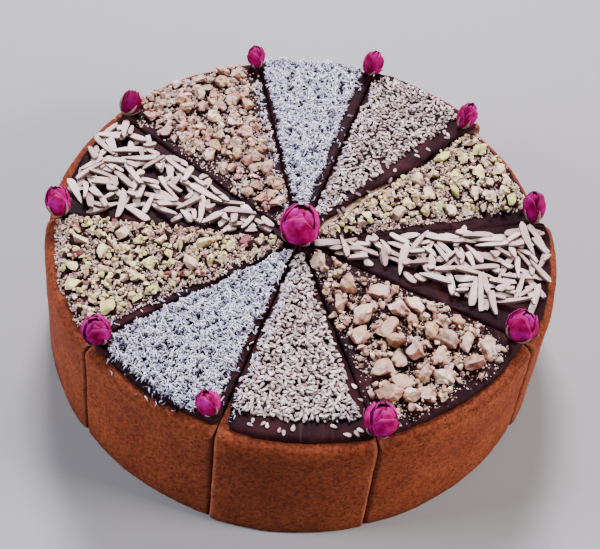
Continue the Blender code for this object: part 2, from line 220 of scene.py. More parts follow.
def side_of_cut(rim_angle, side):
    turn = math.radians(rim_angle)
    rim = TIN_MIDDLE + Vector((math.cos(turn), math.sin(turn))) * RIM_RADIUS
    outward = (rim - HUB).normalized()
    inward = Vector((-outward.y, outward.x)) * side
    return HUB + inward * (CUT_GAP / 2), outward, inward


def run_out(start, direction, radius):
    """Where a cut meets a circle round the middle of the tin."""
    start = start - TIN_MIDDLE
    half = start.dot(direction)
    reach = math.sqrt(half * half - start.dot(start) + radius * radius) - half
    return TIN_MIDDLE + start + direction * reach


def round_corner(near, corner, far, near_out, far_out):
    """Three places, with their outward directions, on a curve that cuts off a corner."""
    for share in (0.25, 0.5, 0.75):
        rest = 1 - share
        spot = near * rest ** 2 + corner * 2 * share * rest + far * share ** 2
        yield spot, (near_out * rest + far_out * share).normalized(), False


class Wedge:
    """The plan of one slice: its two cut faces and its part of the round edge."""

    def __init__(self, number):
        self.number = number
        angle, self.topping, self.reach, lift, self.bare = SLICES[number]
        following = SLICES[(number + 1) % len(SLICES)][0]
        self.right = side_of_cut(angle, 1)
        self.left = side_of_cut(following, -1)
        self.height = CAKE_HEIGHT + lift
        self.middle_angle = math.radians(angle + ((following - angle) % 360) / 2)
        self.chocolate_radius = RIM_RADIUS + self.reach - CHOCOLATE_RIM - self.bare

    def named(self, kind):
        return "%s_%02d" % (kind, self.number + 1)

    def outline(self, radius, inset, arc_steps, side_steps, rounding, tip, wave, level):
        """(point, outward direction, True on a cut face) round the wedge at one height. Its
        outer corners are rounded, its tip is cut off and its round edge waves a little."""
        (start_a, out_a, in_a), (start_b, out_b, in_b) = self.right, self.left
        start_a = start_a + in_a * inset
        start_b = start_b + in_b * inset
        turn = out_a.x * out_b.y - out_a.y * out_b.x
        gap = start_b - start_a
        point = start_a + out_a * ((gap.x * out_b.y - gap.y * out_b.x) / turn)
        corner_a = run_out(start_a, out_a, radius)
        corner_b = run_out(start_b, out_b, radius)
        angle_a = math.atan2(corner_a.y - TIN_MIDDLE.y, corner_a.x - TIN_MIDDLE.x)
        angle_b = math.atan2(corner_b.y - TIN_MIDDLE.y, corner_b.x - TIN_MIDDLE.x)
        if angle_b < angle_a:
            angle_b += math.tau
        trim = rounding / radius
        arc = []
        for step in range(arc_steps + 1):
            angle = angle_a + trim + (angle_b - angle_a - 2 * trim) * step / arc_steps
            ray = Vector((math.cos(angle), math.sin(angle)))
            arc.append((TIN_MIDDLE + ray * (radius + wave * patchiness(ray, 4, level * 30)), ray, False))
        near_a = corner_a - out_a * rounding
        near_b = corner_b - out_b * rounding
        inner_a = point + out_a * tip
        inner_b = point + out_b * tip
        run = [(inner_a.lerp(near_a, i / side_steps), -in_a, True) for i in range(side_steps)]
        run.append((near_a, -in_a, True))
        run.extend(round_corner(near_a, corner_a, arc[0][0], -in_a, arc[0][1]))
        run.extend(arc)
        run.extend(round_corner(arc[-1][0], corner_b, near_b, arc[-1][1], -in_b))
        run.append((near_b, -in_b, True))
        run.extend([(near_b.lerp(inner_b, (i + 1) / side_steps), -in_b, True) for i in range(side_steps)])
        return run

    def distance_to_cuts(self, place):
        """How far a place is from the slice's right and left cut, above zero inside it."""
        return [(place - start).dot(inward) for start, outward, inward in (self.right, self.left)]


def depth_inside(places, outline):
    """How far each place lies inside a closed outline, below zero outside it."""
    start = np.array([tuple(spot) for spot in outline])
    end = np.roll(start, -1, axis=0)
    nearest = np.full(len(places), 1.0)
    crossings = np.zeros(len(places), int)
    for corner, following in zip(start, end):
        edge = following - corner
        away = places - corner
        share = np.clip(away @ edge / max(edge @ edge, 1e-12), 0, 1)
        gap = away - share[:, None] * edge
        nearest = np.minimum(nearest, np.hypot(gap[:, 0], gap[:, 1]))
        spans = (corner[1] > places[:, 1]) != (following[1] > places[:, 1])
        crossings += spans & (places[:, 0] < corner[0] + away[:, 1] * edge[0] / (edge[1] or 1e-12))
    return np.where(crossings % 2 == 1, nearest, -nearest)


def filled(outline, pitch, clearance):
    """Places and triangles across a closed outline, its own points first."""
    low = Vector((min(p.x for p in outline), min(p.y for p in outline)))
    high = Vector((max(p.x for p in outline), max(p.y for p in outline)))
    lattice = []
    for row in range(int((high.y - low.y) / (pitch * 0.866)) + 1):
        for column in range(int((high.x - low.x) / pitch) + 1):
            lattice.append(low + Vector(((column + 0.5 * (row % 2)) * pitch, row * pitch * 0.866)))
    deep = depth_inside(np.array([tuple(spot) for spot in lattice]), outline)
    points = list(outline) + [spot for spot, depth in zip(lattice, deep) if depth > clearance]
    loop = [list(range(len(outline)))]
    found = geometry.delaunay_2d_cdt(points, [], loop, 1, 1e-7)
    return found[0], [list(face) for face in found[2]]


def crust_depth(place):
    """How far the baked crust stands out: soft lumps, fine grain and small pits."""
    lumps = noise.noise(place * 60) * 0.00030 + noise.noise(place * 240) * 0.00012
    pit = max(0.0, noise.noise(place * 620 + Vector((7, 3, 1))) - 0.34)
    return lumps - pit * 0.0012 - 0.0002


def dragged(wedge, place):
    """How much chocolate the knife dragged down a cut face, and the bare strip it left once."""
    spot = place.to_2d()
    away = (spot - HUB).length + 0.012 * noise.noise(place * 110)
    if wedge.number == SCRAPED_SLICE and wedge.distance_to_cuts(spot)[0] < 0.006 and away < 0.060:
        return 0.0
    deep = 0.0042 + 0.0026 * noise.noise(place * 150)
    return limited((place.z - wedge.height + deep) / 0.0012)


def sponge_mesh(wedge):
    """The wedge ring by ring from its foot, with a flat bottom and a filled top. Each ring
    has a height, how far it stands in, and how far its outward direction points up."""
    levels = [(0.0, 0.0014, -1.0), (0.0005, 0.0005, -0.6), (FOOT, 0.0, 0.0)]
    shoulder_start = wedge.height - SHOULDER
    for step in range(1, 40):
        levels.append((FOOT + (shoulder_start - FOOT) * step / 39, 0.0, 0.0))
    for turn in range(9, 91, 9):
        rise = math.sin(math.radians(turn))
        levels.append((shoulder_start + SHOULDER * rise, SHOULDER * (1 - math.cos(math.radians(turn))), rise))
    vertices = []
    worn = []
    smeared = []
    cut_faces = []
    for level, inset, upward in levels:
        spread = BASE_RADIUS + (RIM_RADIUS - BASE_RADIUS) * level / wedge.height
        run = wedge.outline(spread + wedge.reach - inset, inset=-0.0002, arc_steps=58, side_steps=14,
                            rounding=0.0026, tip=0.0016, wave=0.0006, level=level)
        cut_faces = [on_cut for spot, outward, on_cut in run]
        level_out = math.sqrt(max(0.0, 1 - upward * upward))
        for spot, outward, on_cut in run:
            place = Vector((spot.x, spot.y, level))
            way = Vector((outward.x * level_out, outward.y * level_out, upward))
            if on_cut:
                way = Vector((outward.x, outward.y, 0.0)) * 0.3
            if level == 0.0:
                way = Vector((0.0, 0.0, 0.0))
            vertices.append(place + way * crust_depth(place))
            worn.append(max(0.0, 1 - abs(min(wedge.distance_to_cuts(spot)) - 0.0009) / 0.0016))
            smeared.append(dragged(wedge, place))
    count = len(cut_faces)
    faces = [list(range(count))[::-1]]
    crumb_side = [1]
    for level in range(len(levels) - 1):
        low = level * count
        for i in range(count):
            j = (i + 1) % count
            faces.append([low + i, low + j, low + count + j, low + count + i])
            crumb_side.append(1 if cut_faces[i] and cut_faces[j] else 0)
    top = (len(levels) - 1) * count
    flat, triangles = filled([vertices[top + i].to_2d() for i in range(count)], 0.0016, 0.0006)
    for spot in flat[count:]:
        place = Vector((spot.x, spot.y, wedge.height))
        bare = limited(((spot - TIN_MIDDLE).length - wedge.chocolate_radius + 0.0030) / 0.0020)
        vertices.append(place + Vector((0.0, 0.0, crust_depth(place) * bare - 0.0001)))
        worn.append(0.0)
        smeared.append(dragged(wedge, place))
    for face in triangles:
        faces.append([top + i for i in face])
        middle = sum((flat[i] for i in face), Vector((0, 0))) / 3
        crumb_side.append(0 if (middle - TIN_MIDDLE).length > wedge.chocolate_radius - 0.012 else 1)
    mesh = bpy.data.meshes.new(wedge.named("sponge"))
    mesh.from_pydata(vertices, [], faces)
    mesh.polygons.foreach_set("material_index", crumb_side)
    mesh.attributes.new("worn", "FLOAT", "POINT").data.foreach_set("value", worn)
    mesh.attributes.new("smeared", "FLOAT", "POINT").data.foreach_set("value", smeared)
    mesh.shade_smooth()
    mesh.set_sharp_from_angle(angle=math.radians(50))
    return mesh


crust, tree, shader, place = new_finish("browned_crust", 0.84, 0.17)
grain = mottle(tree, place, 620.0, 5.0, Roughness=0.66)
baked = ramp(tree, mottle(tree, place, 42.0, 6.0, Roughness=0.6), (0.30, (0.180, 0.033, 0.0095)),
             (0.50, (0.224, 0.046, 0.0135)), (0.70, (0.274, 0.062, 0.019)))
rise = scaled(tree, parts_of(tree, place)[2], 0.0, 0.067)
# Painted shade: by height, the crust is darker at its foot and over its rounded top edge.
painted_height_shade = ramp(tree, rise, (0.0, (0.50, 0.44, 0.42)), (0.07, (0.86, 0.84, 0.80)), (0.20, (1.0, 1.02, 0.96)),
              (0.55, (0.92, 0.88, 0.88)), (0.84, (0.90, 0.86, 0.84)), (0.90, (0.98, 0.98, 0.92)),
              (0.955, (0.68, 0.65, 0.63)), (1.0, (0.56, 0.52, 0.52)))
coloured = tinted(tree, baked, painted_height_shade)
speckle = ramp(tree, grain, (0.37, (0.50, 0.42, 0.38)), (0.50, WHITE), (0.63, (1.42, 1.48, 1.54)))
coloured = tinted(tree, coloured, speckle, 0.9)
coloured = mix(tree, times(tree, stored(tree, "worn"), 0.30), coloured, (0.42, 0.15, 0.075))
pores = node(tree, "ShaderNodeTexVoronoi", {"Vector": place, "Scale": 760.0}).outputs["Distance"]
pore_size = calc(tree, "SUBTRACT", mottle(tree, place, 300.0, 3.0), 0.34)
pits = scaled(tree, calc(tree, "SUBTRACT", pores, pore_size), 0.0, 0.16, 0.75, 0.0)
paint(tree, shader, mix(tree, pits, coloured, (0.060, 0.010, 0.004)))
roughen(tree, shader, 0.45, 0.0004, calc(tree, "SUBTRACT", grain, pits))

crumb, tree, shader, place = new_finish("sponge_crumb", 0.9, 0.15)
cells = node(tree, "ShaderNodeTexVoronoi", {"Vector": place, "Scale": 700.0}).outputs["Distance"]
coloured = ramp(tree, mottle(tree, place, 160.0, 4.0), (0.34, (0.34, 0.21, 0.13)), (0.55, (0.48, 0.32, 0.21)),
                (0.74, (0.58, 0.42, 0.29)))
coloured = shaded(tree, coloured, 0.9, cells, 0.05, (0.45, 0.38, 0.33), 0.35)
paint(tree, shader, mix(tree, stored(tree, "smeared"), coloured, (0.065, 0.022, 0.017)))
roughen(tree, shader, 0.7, 0.0008, cells)

wedges = [Wedge(number) for number in range(len(SLICES))]
sponges = []
for wedge in wedges:
    mesh = sponge_mesh(wedge)
    mesh.materials.append(crust)
    mesh.materials.append(crumb)
    sponges.append(set_in_place(mesh, "sponge", wedge.named("slice")))

# Chocolate
# Dark chocolate icing, spread 2 mm thick on each slice with a palette knife after cutting.
# It is smooth with soft waves and faint knife streaks, which are painted lighter as painted
# highlights; it is rounded where it ends, and stops short of the round edge.
CHOCOLATE_THICKNESS = 0.0022
CHOCOLATE_BASE = 0.0003
FRONT_SLICE = 0


def chocolate_outline(wedge):
    """The edge of one slice's chocolate. It is scraped off along a cut of one slice, and
    drawn in at a corner of the front one."""
    run = wedge.outline(wedge.chocolate_radius, inset=0.0, arc_steps=40, side_steps=34, rounding=0.0030,
                        tip=0.0010, wave=0.0011, level=wedge.number)
    spots = []
    for spot, outward, on_cut in run:
        ragged = patchiness(spot, 150, 2.0)
        shift = min(0.0, ragged * 0.0002) if on_cut else ragged * 0.0008
        to_right = wedge.distance_to_cuts(spot)[0]
        away = (spot - HUB).length
        if wedge.number == SCRAPED_SLICE and on_cut and to_right < 0.001:
            bare = limited((away - 0.008) / 0.012) * limited((0.072 - away) / 0.022)
            shift = -bare * (0.0021 + 0.0016 * ragged)
        if wedge.number == FRONT_SLICE:
            corner = limited((away - 0.090) / 0.012) * limited(1 - to_right / 0.024)
            spot = spot + (wedge.right[2] * 0.0034 - (spot - TIN_MIDDLE).normalized() * 0.0012) * corner
        spots.append(spot + outward * shift)
    return spots


def chocolate_height(wedge, places, outline):
    """Top of the chocolate above the floor at places inside its outline."""
    depth = np.maximum(depth_inside(places, outline), 0.0)
    to_cuts = np.array([min(wedge.distance_to_cuts(Vector(tuple(place)))) for place in places])
    width = 0.0004 + 0.0014 * np.clip((to_cuts - depth - 0.0003) / 0.002, 0, 1)
    edge = np.clip(depth / width, 0, 1)
    rounded = np.sqrt(1 - (1 - edge) ** 2)
    waves = np.array([noise.noise(Vector((x * 42, y * 42, 5.0 + wedge.number))) for x, y in places])
    ripples = np.array([noise.noise(Vector((x * 130, y * 130, 9.0))) for x, y in places])
    shallow = 0.25 + 0.45 * np.clip((0.0018 - width) / 0.0014, 0, 1)
    thick = CHOCOLATE_THICKNESS * (shallow + (1 - shallow) * rounded)
    thick = thick + (waves * 0.00030 + ripples * 0.00012) * edge
    return wedge.height + CHOCOLATE_BASE + thick


chocolate, tree, shader, place = new_finish("dark_chocolate", 0.42, 0.035)
swirls = mottle(tree, place, 55.0, 4.0, Distortion=0.6)
streaks = mottle(tree, stored(tree, "stroke", "Vector"), 460.0, 3.0, Distortion=0.4)
coloured = ramp(tree, swirls, (0.32, (0.0090, 0.0024, 0.0040)), (0.54, (0.0160, 0.0048, 0.0070)),
                (0.74, (0.0440, 0.0122, 0.0132)))
# Painted highlight: the knife streaks are painted a lighter red-brown.
scraped = ramp(tree, streaks, (0.57, BLACK), (0.72, (0.60, 0.60, 0.60)))
paint(tree, shader, mix(tree, scraped, coloured, (0.056, 0.018, 0.018)))
tree.links.new(scaled(tree, swirls, 0.3, 0.75, 0.46, 0.68), shader.inputs["Roughness"])
roughen(tree, shader, 0.25, 0.0006, plus(tree, swirls, mottle(tree, place, 900.0, 3.0), streaks))

slabs = []
for wedge in wedges:
    outline = chocolate_outline(wedge)
    border = len(outline)
    flat, faces = filled(outline, pitch=0.0015, clearance=0.0004)
    tops = chocolate_height(wedge, np.array([tuple(p) for p in flat]), outline)
    foot = wedge.height + CHOCOLATE_BASE
    vertices = [(p.x, p.y, z) for p, z in zip(flat, tops)] + [(p.x, p.y, foot) for p in outline]
    count = len(flat)
    faces += [[i, count + i, count + (i + 1) % border, (i + 1) % border] for i in range(border)]
    faces.append([count + i for i in reversed(range(border))])
    mesh = bpy.data.meshes.new(wedge.named("chocolate"))
    mesh.from_pydata(vertices, [], faces)
    shape = bmesh.new()
    shape.from_mesh(mesh)
    bmesh.ops.recalc_face_normals(shape, faces=shape.faces)
    shape.to_mesh(mesh)
    shape.free()
    mesh.shade_smooth()
    mesh.set_sharp_from_angle(angle=math.radians(60))
    strokes = []
    ray = Vector((math.cos(wedge.middle_angle), math.sin(wedge.middle_angle)))
    for x, y, z in vertices:
        away = Vector((x, y)) - HUB
        strokes += [away.dot(ray) * 0.10, away.dot(Vector((-ray.y, ray.x))), z]
    mesh.attributes.new("stroke", "FLOAT_VECTOR", "POINT").data.foreach_set("vector", strokes)
    mesh.materials.append(chocolate)
    slabs.append(set_in_place(mesh, wedge.topping + "_top", wedge.named("icing")))

# Sesame seeds
# Hulled white sesame seeds, 3 mm long, strewn by hand on the soft chocolate of two slices.
# They lie flat in one to two layers, with a few strays on the bare margin.
CELL = 0.0005
GRID = 512
REACH_SQUARED = 0.01563

# bare margins in metres: at the right cut near the hub and near the rim, the same at the
# left cut, then at the round edge, and how far from the hub the topping starts
MARGINS = [
    (0.0004, 0.0036, 0.0004, 0.0046, 0.0096, 0.006),
    (0.0008, 0.0060, 0.0008, 0.0056, 0.0040, 0.007),
    (0.0006, 0.0070, 0.0004, 0.0012, 0.0012, 0.006),
    (0.0006, 0.0080, 0.0006, 0.0016, 0.0030, 0.006),
    (0.0036, 0.0092, 0.0004, 0.0016, 0.0030, 0.006),
    (0.0028, 0.0066, 0.0008, 0.0022, 0.0002, 0.010),
    (0.0006, 0.0072, 0.0016, 0.0044, 0.0018, 0.006),
    (0.0006, 0.0008, 0.0008, 0.0020, 0.0022, 0.006),
    (0.0006, 0.0014, 0.0012, 0.0066, 0.0006, 0.006),
    (0.0010, 0.0014, 0.0006, 0.0044, 0.0026, 0.008),
]


def heights_from_above(pieces):
    """How high the cake stands at every half millimetre, up to 125 mm from its middle."""
    vertices = []
    polygons = []
    for piece in pieces:
        start = len(vertices)
        vertices.extend(vertex.co.copy() for vertex in piece.data.vertices)
        polygons.extend([start + i for i in polygon.vertices] for polygon in piece.data.polygons)
    surface = BVHTree.FromPolygons(vertices, polygons)
    down = Vector((0, 0, -1))
    grid = np.zeros((GRID, GRID))
    for row in range(GRID):
        y = (row + 0.5 - GRID / 2) * CELL
        for column in range(GRID):
            x = (column + 0.5 - GRID / 2) * CELL
            if x * x + y * y < REACH_SQUARED:
                hit = surface.ray_cast(Vector((x, y, 0.09)), down)[0]
                grid[row, column] = hit.z if hit else 0.0
    return grid


def lay(x, y, heading, length, width, thickness, steepest, sink=0.15):
    """Sets a piece down on what lies there. Gives the height and slope of its middle line."""
    cells_along = max(3, round(length / CELL))
    cells_across = max(2, round(width / CELL))
    along = np.linspace(-0.5, 0.5, cells_along) * length
    across = np.linspace(-0.42, 0.42, cells_across) * width
    spread = np.meshgrid(along, across, indexing="ij")
    columns = (x + spread[0] * math.cos(heading) - spread[1] * math.sin(heading)) / CELL + GRID / 2
    rows = (y + spread[0] * math.sin(heading) + spread[1] * math.cos(heading)) / CELL + GRID / 2
    columns = np.clip(columns.astype(int), 0, GRID - 1)
    rows = np.clip(rows.astype(int), 0, GRID - 1)
    under = heap[rows, columns]
    ridge = np.sort(under, axis=1)[:, -min(2, cells_across)]
    half = cells_along // 2
    left = int(np.argmax(ridge[:half]))
    right = half + int(np.argmax(ridge[half:]))
    slope = (ridge[right] - ridge[left]) / max(along[right] - along[left], 1e-6)
    slope = max(-steepest, min(steepest, slope))
    base = float((ridge - slope * along).max()) - sink * thickness
    return base, slope, (rows, columns, base + slope * spread[0] + thickness * (1 - (spread[1] / width) ** 2))


def settle(laid, x, y, z, roll, slope, heading, size, shade, covering):
    """Notes a piece that was laid, and raises the heap under it."""
    laid.append(((x, y, z), (roll, -math.atan(slope), heading), size, shade))
    rows, columns, top = covering
    heap[rows, columns] = np.maximum(heap[rows, columns], top)


def chocolate_top(wedge):
    return wedge.height + CHOCOLATE_BASE + CHOCOLATE_THICKNESS


def near_bud(x, y, clearance):
    return any(math.hypot(x - bud[0], y - bud[1]) < bud[2] * 0.42 + clearance for bud in BUDS)


def strewn(wedge, rng, grown=0.0):
    """A place where the topping of a slice was strewn; grown widens the patch."""
    hub_right, rim_right, hub_left, rim_left, rim, start = MARGINS[wedge.number]
    out_a, out_b = wedge.right[1], wedge.left[1]
    spread = math.acos(max(-1, min(1, out_a.dot(out_b))))
    while True:
        away = 0.127 * math.sqrt(rng.random())
        turn = math.atan2(out_a.y, out_a.x) + rng.random() * spread
        spot = HUB + Vector((math.cos(turn), math.sin(turn))) * away
        share = min(1.0, away / 0.11)
        ragged = patchiness(spot, 90, 3.0) * 0.0016
        to_right, to_left = wedge.distance_to_cuts(spot)
        if away < start - grown or (spot - TIN_MIDDLE).length > wedge.chocolate_radius - rim + grown + ragged:
            continue
        if to_right < max(0.0006, hub_right + (rim_right - hub_right) * share - grown + ragged):
            continue
        if to_left < max(0.0006, hub_left + (rim_left - hub_left) * share - grown - ragged):
            continue
        return spot


def vector_calc(tree, operation, first, second):
    slot = "Scale" if operation == "SCALE" else 1
    made = node(tree, "ShaderNodeVectorMath", {0: first, slot: second}, operation=operation)
    return made.outputs["Value" if operation in ("DOT_PRODUCT", "LENGTH") else "Vector"]


def picked(tree, low, high, seed):
    """A number between two limits that is different for every laid piece."""
    made = node(tree, "FunctionNodeRandomValue", data_type="FLOAT")
    for slot, value in ((2, low), (3, high), (8, seed)):
        made.inputs[slot].default_value = value
    tree.links.new(attribute(tree, "number", "INT"), made.inputs[7])
    return made.outputs[1]


def attribute(tree, name, kind="FLOAT_VECTOR"):
    return node(tree, "GeometryNodeInputNamedAttribute", {"Name": name}, data_type=kind).outputs[0]


def store(tree, geometry, name, value, kind="FLOAT_VECTOR"):
    inputs = {"Geometry": geometry, "Name": name, "Value": value}
    return node(tree, "GeometryNodeStoreNamedAttribute", inputs, data_type=kind).outputs[0]


def moved(tree, geometry, **inputs):
    return node(tree, "GeometryNodeSetPosition", {"Geometry": geometry, **inputs}).outputs[0]


def grow(name, laid, base, shape, finish, sizes, sharp=None):
    """Makes one piece from a list of laid places: a base shape is set at each of them, and
    the shape rule gives it its own form there."""
    spots = bpy.data.meshes.new(name)
    spots.from_pydata([entry[0] for entry in laid], [], [])
    for label, column in (("turn", 1), ("size", 2)):
        layer = spots.attributes.new(label, "FLOAT_VECTOR", "POINT")
        layer.data.foreach_set("vector", [value for entry in laid for value in entry[column]])
    spots.attributes.new("shade", "FLOAT", "POINT").data.foreach_set("value", [entry[3] for entry in laid])
    spots.attributes.new("number", "INT", "POINT").data.foreach_set("value", range(len(laid)))
    tree = bpy.data.node_groups.new(name + "_growth", "GeometryNodeTree")
    tree.interface.new_socket("Geometry", in_out="INPUT", socket_type="NodeSocketGeometry")
    for label in sizes:
        tree.interface.new_socket(label, in_out="INPUT", socket_type="NodeSocketFloat")
    tree.interface.new_socket("Geometry", in_out="OUTPUT", socket_type="NodeSocketGeometry")
    given = node(tree, "NodeGroupInput").outputs
    place = node(tree, "GeometryNodeInputPosition").outputs[0]
    spread = store(tree, given["Geometry"], "centre", place)
    single = store(tree, base(tree), "own", place)
    copies = node(tree, "GeometryNodeInstanceOnPoints", {"Points": spread, "Instance": single}).outputs[0]
    real = node(tree, "GeometryNodeRealizeInstances", {"Geometry": copies}).outputs[0]
    local, cut = shape(tree, attribute(tree, "own"), attribute(tree, "size"), given)
    if cut is not None:
        real = store(tree, real, "cut", cut, "FLOAT")
    way = node(tree, "FunctionNodeEulerToRotation", {0: attribute(tree, "turn")}).outputs[0]
    turned = node(tree, "FunctionNodeRotateVector", {"Vector": local, "Rotation": way}).outputs[0]
    set_down = moved(tree, real, Position=vector_calc(tree, "ADD", attribute(tree, "centre"), turned))
    if "Roughness" in sizes:
        inputs = {"Vector": place, "Scale": given["Grain"], "Detail": 2.0}
        grain = node(tree, "ShaderNodeTexNoise", inputs).outputs["Color"]
        push = vector_calc(tree, "SUBTRACT", grain, (0.5, 0.5, 0.5))
        set_down = moved(tree, set_down, Offset=vector_calc(tree, "SCALE", push, given["Roughness"]))
    dressed = node(tree, "GeometryNodeSetMaterial", {"Geometry": set_down, "Material": finish}).outputs[0]
    tree.links.new(dressed, node(tree, "NodeGroupOutput").inputs[0])

    piece = bpy.data.objects.new(name, spots)
    bpy.context.scene.collection.objects.link(piece)
    modifier = piece.modifiers.new("growth", "NODES")
    modifier.node_group = tree
    for socket in tree.interface.items_tree:
        if socket.in_out == "INPUT" and socket.name in sizes:
            modifier[socket.identifier] = sizes[socket.name]
    ready = piece.evaluated_get(bpy.context.evaluated_depsgraph_get())
    mesh = bpy.data.meshes.new_from_object(ready)
    piece.modifiers.remove(modifier)
    piece.data = mesh
    bpy.data.meshes.remove(spots)
    mesh.name = name
    mesh.shade_smooth()
    if sharp:
        mesh.set_sharp_from_angle(angle=math.radians(sharp))
    return piece


def on_slices(topping, piece):
    """Hangs a topping piece under the root and hides the icing solids that it lies on."""
    tie(piece, topping + "_top", *[wedge.named("icing") for wedge in wedges if wedge.topping == topping])


def slices_with(topping, seed):
    """Each slice with a topping, and the random numbers for it."""
    for wedge in wedges:
        if wedge.topping == topping:
            yield wedge, random.Random(seed + wedge.number)


def joined(tree, x, y, z):
    return node(tree, "ShaderNodeCombineXYZ", {0: x, 1: y, 2: z}).outputs[0]


def lying(kind, inputs):
    """A maker of a round base shape that lies along x."""
    def body(tree):
        upright = node(tree, kind, inputs).outputs["Mesh"]
        x, y, z = parts_of(tree, node(tree, "GeometryNodeInputPosition").outputs[0])
        return moved(tree, upright, Position=joined(tree, z, x, y))
    return body


# x, y, width, length, heading of its lean and angle of its lean, for every rosebud
BUDS = [
    (-0.0296, -0.1071, 0.0108, 0.0132, 140, 16), (0.0414, -0.1059, 0.0138, 0.0158, 110, 10),
    (0.0995, -0.0504, 0.0136, 0.0150, 60, 22), (0.1083, 0.0213, 0.0108, 0.0170, 130, 20),
    (0.0759, 0.0793, 0.0106, 0.0162, 35, 12), (0.0258, 0.1103, 0.0114, 0.0146, 50, 24),
    (-0.0365, 0.1058, 0.0098, 0.0150, 90, 4), (-0.0934, 0.0600, 0.0104, 0.0136, 60, 52),
    (-0.1132, -0.0105, 0.0122, 0.0160, 115, 14), (-0.0811, -0.0784, 0.0130, 0.0148, 240, 8),
    (-0.0015, -0.0093, 0.0182, 0.0200, 90, 8),
]
BUDS = [(x + TIN_MIDDLE.x, y + TIN_MIDDLE.y, *rest) for x, y, *rest in BUDS]

heap = heights_from_above(sponges + slabs)


def seed_shape(tree, own, size, given):
    """A flat drop, round at one end and pointed at the other."""
    x, y, z = parts_of(tree, own)
    taper = calc(tree, "SUBTRACT", 1.0, times(tree, x, given["Taper"]))
    drop = joined(tree, x, times(tree, y, taper), times(tree, z, taper))
    return vector_calc(tree, "MULTIPLY", drop, size), None


def with_painted_side_shade(tree, coloured, side_shade):
    """The colour of a small piece with painted shade: darker on its sides and underneath, by the way each
    face points.
    """
    up = parts_of(tree, node(tree, "ShaderNodeNewGeometry").outputs["Normal"])[2]
    return shaded(tree, coloured, 1.0, up, 0.15, side_shade, 0.85)


sesame, tree, shader, place = new_finish("sesame_seed", 0.42, 0.45)
grain = mottle(tree, place, 900.0, 2.0)
coloured = ramp(tree, stored(tree, "shade"), (0.0, (0.22, 0.145, 0.135)), (0.25, (0.40, 0.305, 0.29)),
                (0.6, (0.68, 0.56, 0.53)), (1.0, (0.97, 0.87, 0.83)))
coloured = shaded(tree, coloured, 0.6, grain, 0.35, (0.78, 0.74, 0.70), 0.6)
tint = ramp(tree, mottle(tree, place, 330.0, 1.0), (0.36, (0.91, 0.92, 1.0)), (0.50, (1.0, 0.97, 0.95)),
            (0.64, (1.0, 0.90, 0.90)))
# Painted shade: each seed is darkened round its thin edge, so that it has a dark outline.
over = calc(tree, "ABSOLUTE", parts_of(tree, stored(tree, "own", "Vector"))[2])
coloured = shaded(tree, tinted(tree, coloured, tint), 1.0, over, 0.12, (0.24, 0.18, 0.17), 0.46)
paint(tree, shader, with_painted_side_shade(tree, coloured, (0.18, 0.162, 0.162)))
roughen(tree, shader, 0.25, 0.0003, grain)

TRIES, FIRST_LAYER, BEFORE_STRAYS = 3100, 1500, 2700
SEED_THICKNESS = 0.0008
laid = []
for wedge, rng in slices_with("sesame", 10):
    sparse = wedge.number == SCRAPED_SLICE
    for attempt in range(TRIES):
        first_layer, stray = attempt < FIRST_LAYER, attempt >= BEFORE_STRAYS
        if sparse and attempt % 4 == 0 and not stray:
            continue
        spot = strewn(wedge, rng, 0.0078 if stray else 0.0)
        if near_bud(spot.x, spot.y, 0.001):
            continue
        length = rng.uniform(0.0026, 0.0036) * (1.06 if stray else 1.0)
        width = length * (rng.uniform(0.54, 0.62) if stray else rng.uniform(0.44, 0.58))
        heading = rng.uniform(0, math.tau)
        base, slope, covering = lay(spot.x, spot.y, heading, length * 0.86, width * 0.8, SEED_THICKNESS,
                                    steepest=0.5)
        level = (base - chocolate_top(wedge)) / 0.0011
        loose = patchiness(spot, 170, 4.0)
        if level > (0.15 if stray else 0.30 if first_layer else 1.2 + 1.4 * loose):
            continue
        if rng.random() < (0.74 if stray else -0.1 - 0.9 * loose):
            continue
        roll = rng.gauss(0, 0.5) if level > 0.2 else rng.uniform(-0.15, 0.15)
        tip = rng.gauss(0, 0.20) if level > 0.2 else 0.0
        # Painted shade: seeds lower in the heap, and the seeds on the sparse back slice, get a darker colour;
        # seeds 28 to 56 mm from the hub are also made greyer.
        dimmed = 0.14 if sparse or 0.028 < (spot - HUB).length < 0.056 else 0.0
        shade = limited(rng.gauss(0.45, 0.27) + 0.28 * level - dimmed)
        size = (length / 2, width / 2, 0.00044)
        settle(laid, spot.x, spot.y, base + 0.00042, roll, slope + tip, heading, size, shade, covering)
seed_body = lying("GeometryNodeMeshUVSphere", {"Segments": 7, "Rings": 5, "Radius": 1.0})
on_slices("sesame", grow("sesame_seeds", laid, seed_body, seed_shape, sesame, {"Taper": 0.40}))

# Coconut shreds
# Dried grated coconut: thin white strips, 1 to 3.4 mm long, bent and curled as they dried.
# They lie criss-cross in a loose heap with dark gaps, and some fall over the icing's edge.


def shred_shape(tree, own, size, given):
    """A thin strip, bent up or down and to one side, narrower at one end."""
    x, y, z = parts_of(tree, own)
    half_length, half_width, half_thick = parts_of(tree, size)
    taper = plus(tree, 0.80, times(tree, x, picked(tree, -0.35, 0.20, 1)))
    bow = times(tree, times(tree, x, x), times(tree, half_length, given["Curl"]))
    across = plus(tree, times(tree, y, half_width, taper), times(tree, bow, picked(tree, -0.9, 0.9, 2)))
    up = plus(tree, times(tree, z, half_thick), times(tree, bow, picked(tree, -0.9, 1.2, 3)))
    return joined(tree, times(tree, x, half_length), across, up), None


coconut, tree, shader, place = new_finish("dried_coconut", 0.55, 0.35)
# Painted shade: the darkest stops go on shreds low in the heap, in its gaps.
coloured = ramp(tree, stored(tree, "shade"), (0.0, (0.16, 0.14, 0.21)), (0.30, (0.55, 0.56, 0.80)),
                (0.55, (0.79, 0.82, 1.0)), (1.0, (0.94, 0.96, 1.0)))
paint(tree, shader, with_painted_side_shade(tree, coloured, (0.45, 0.405, 0.405)))


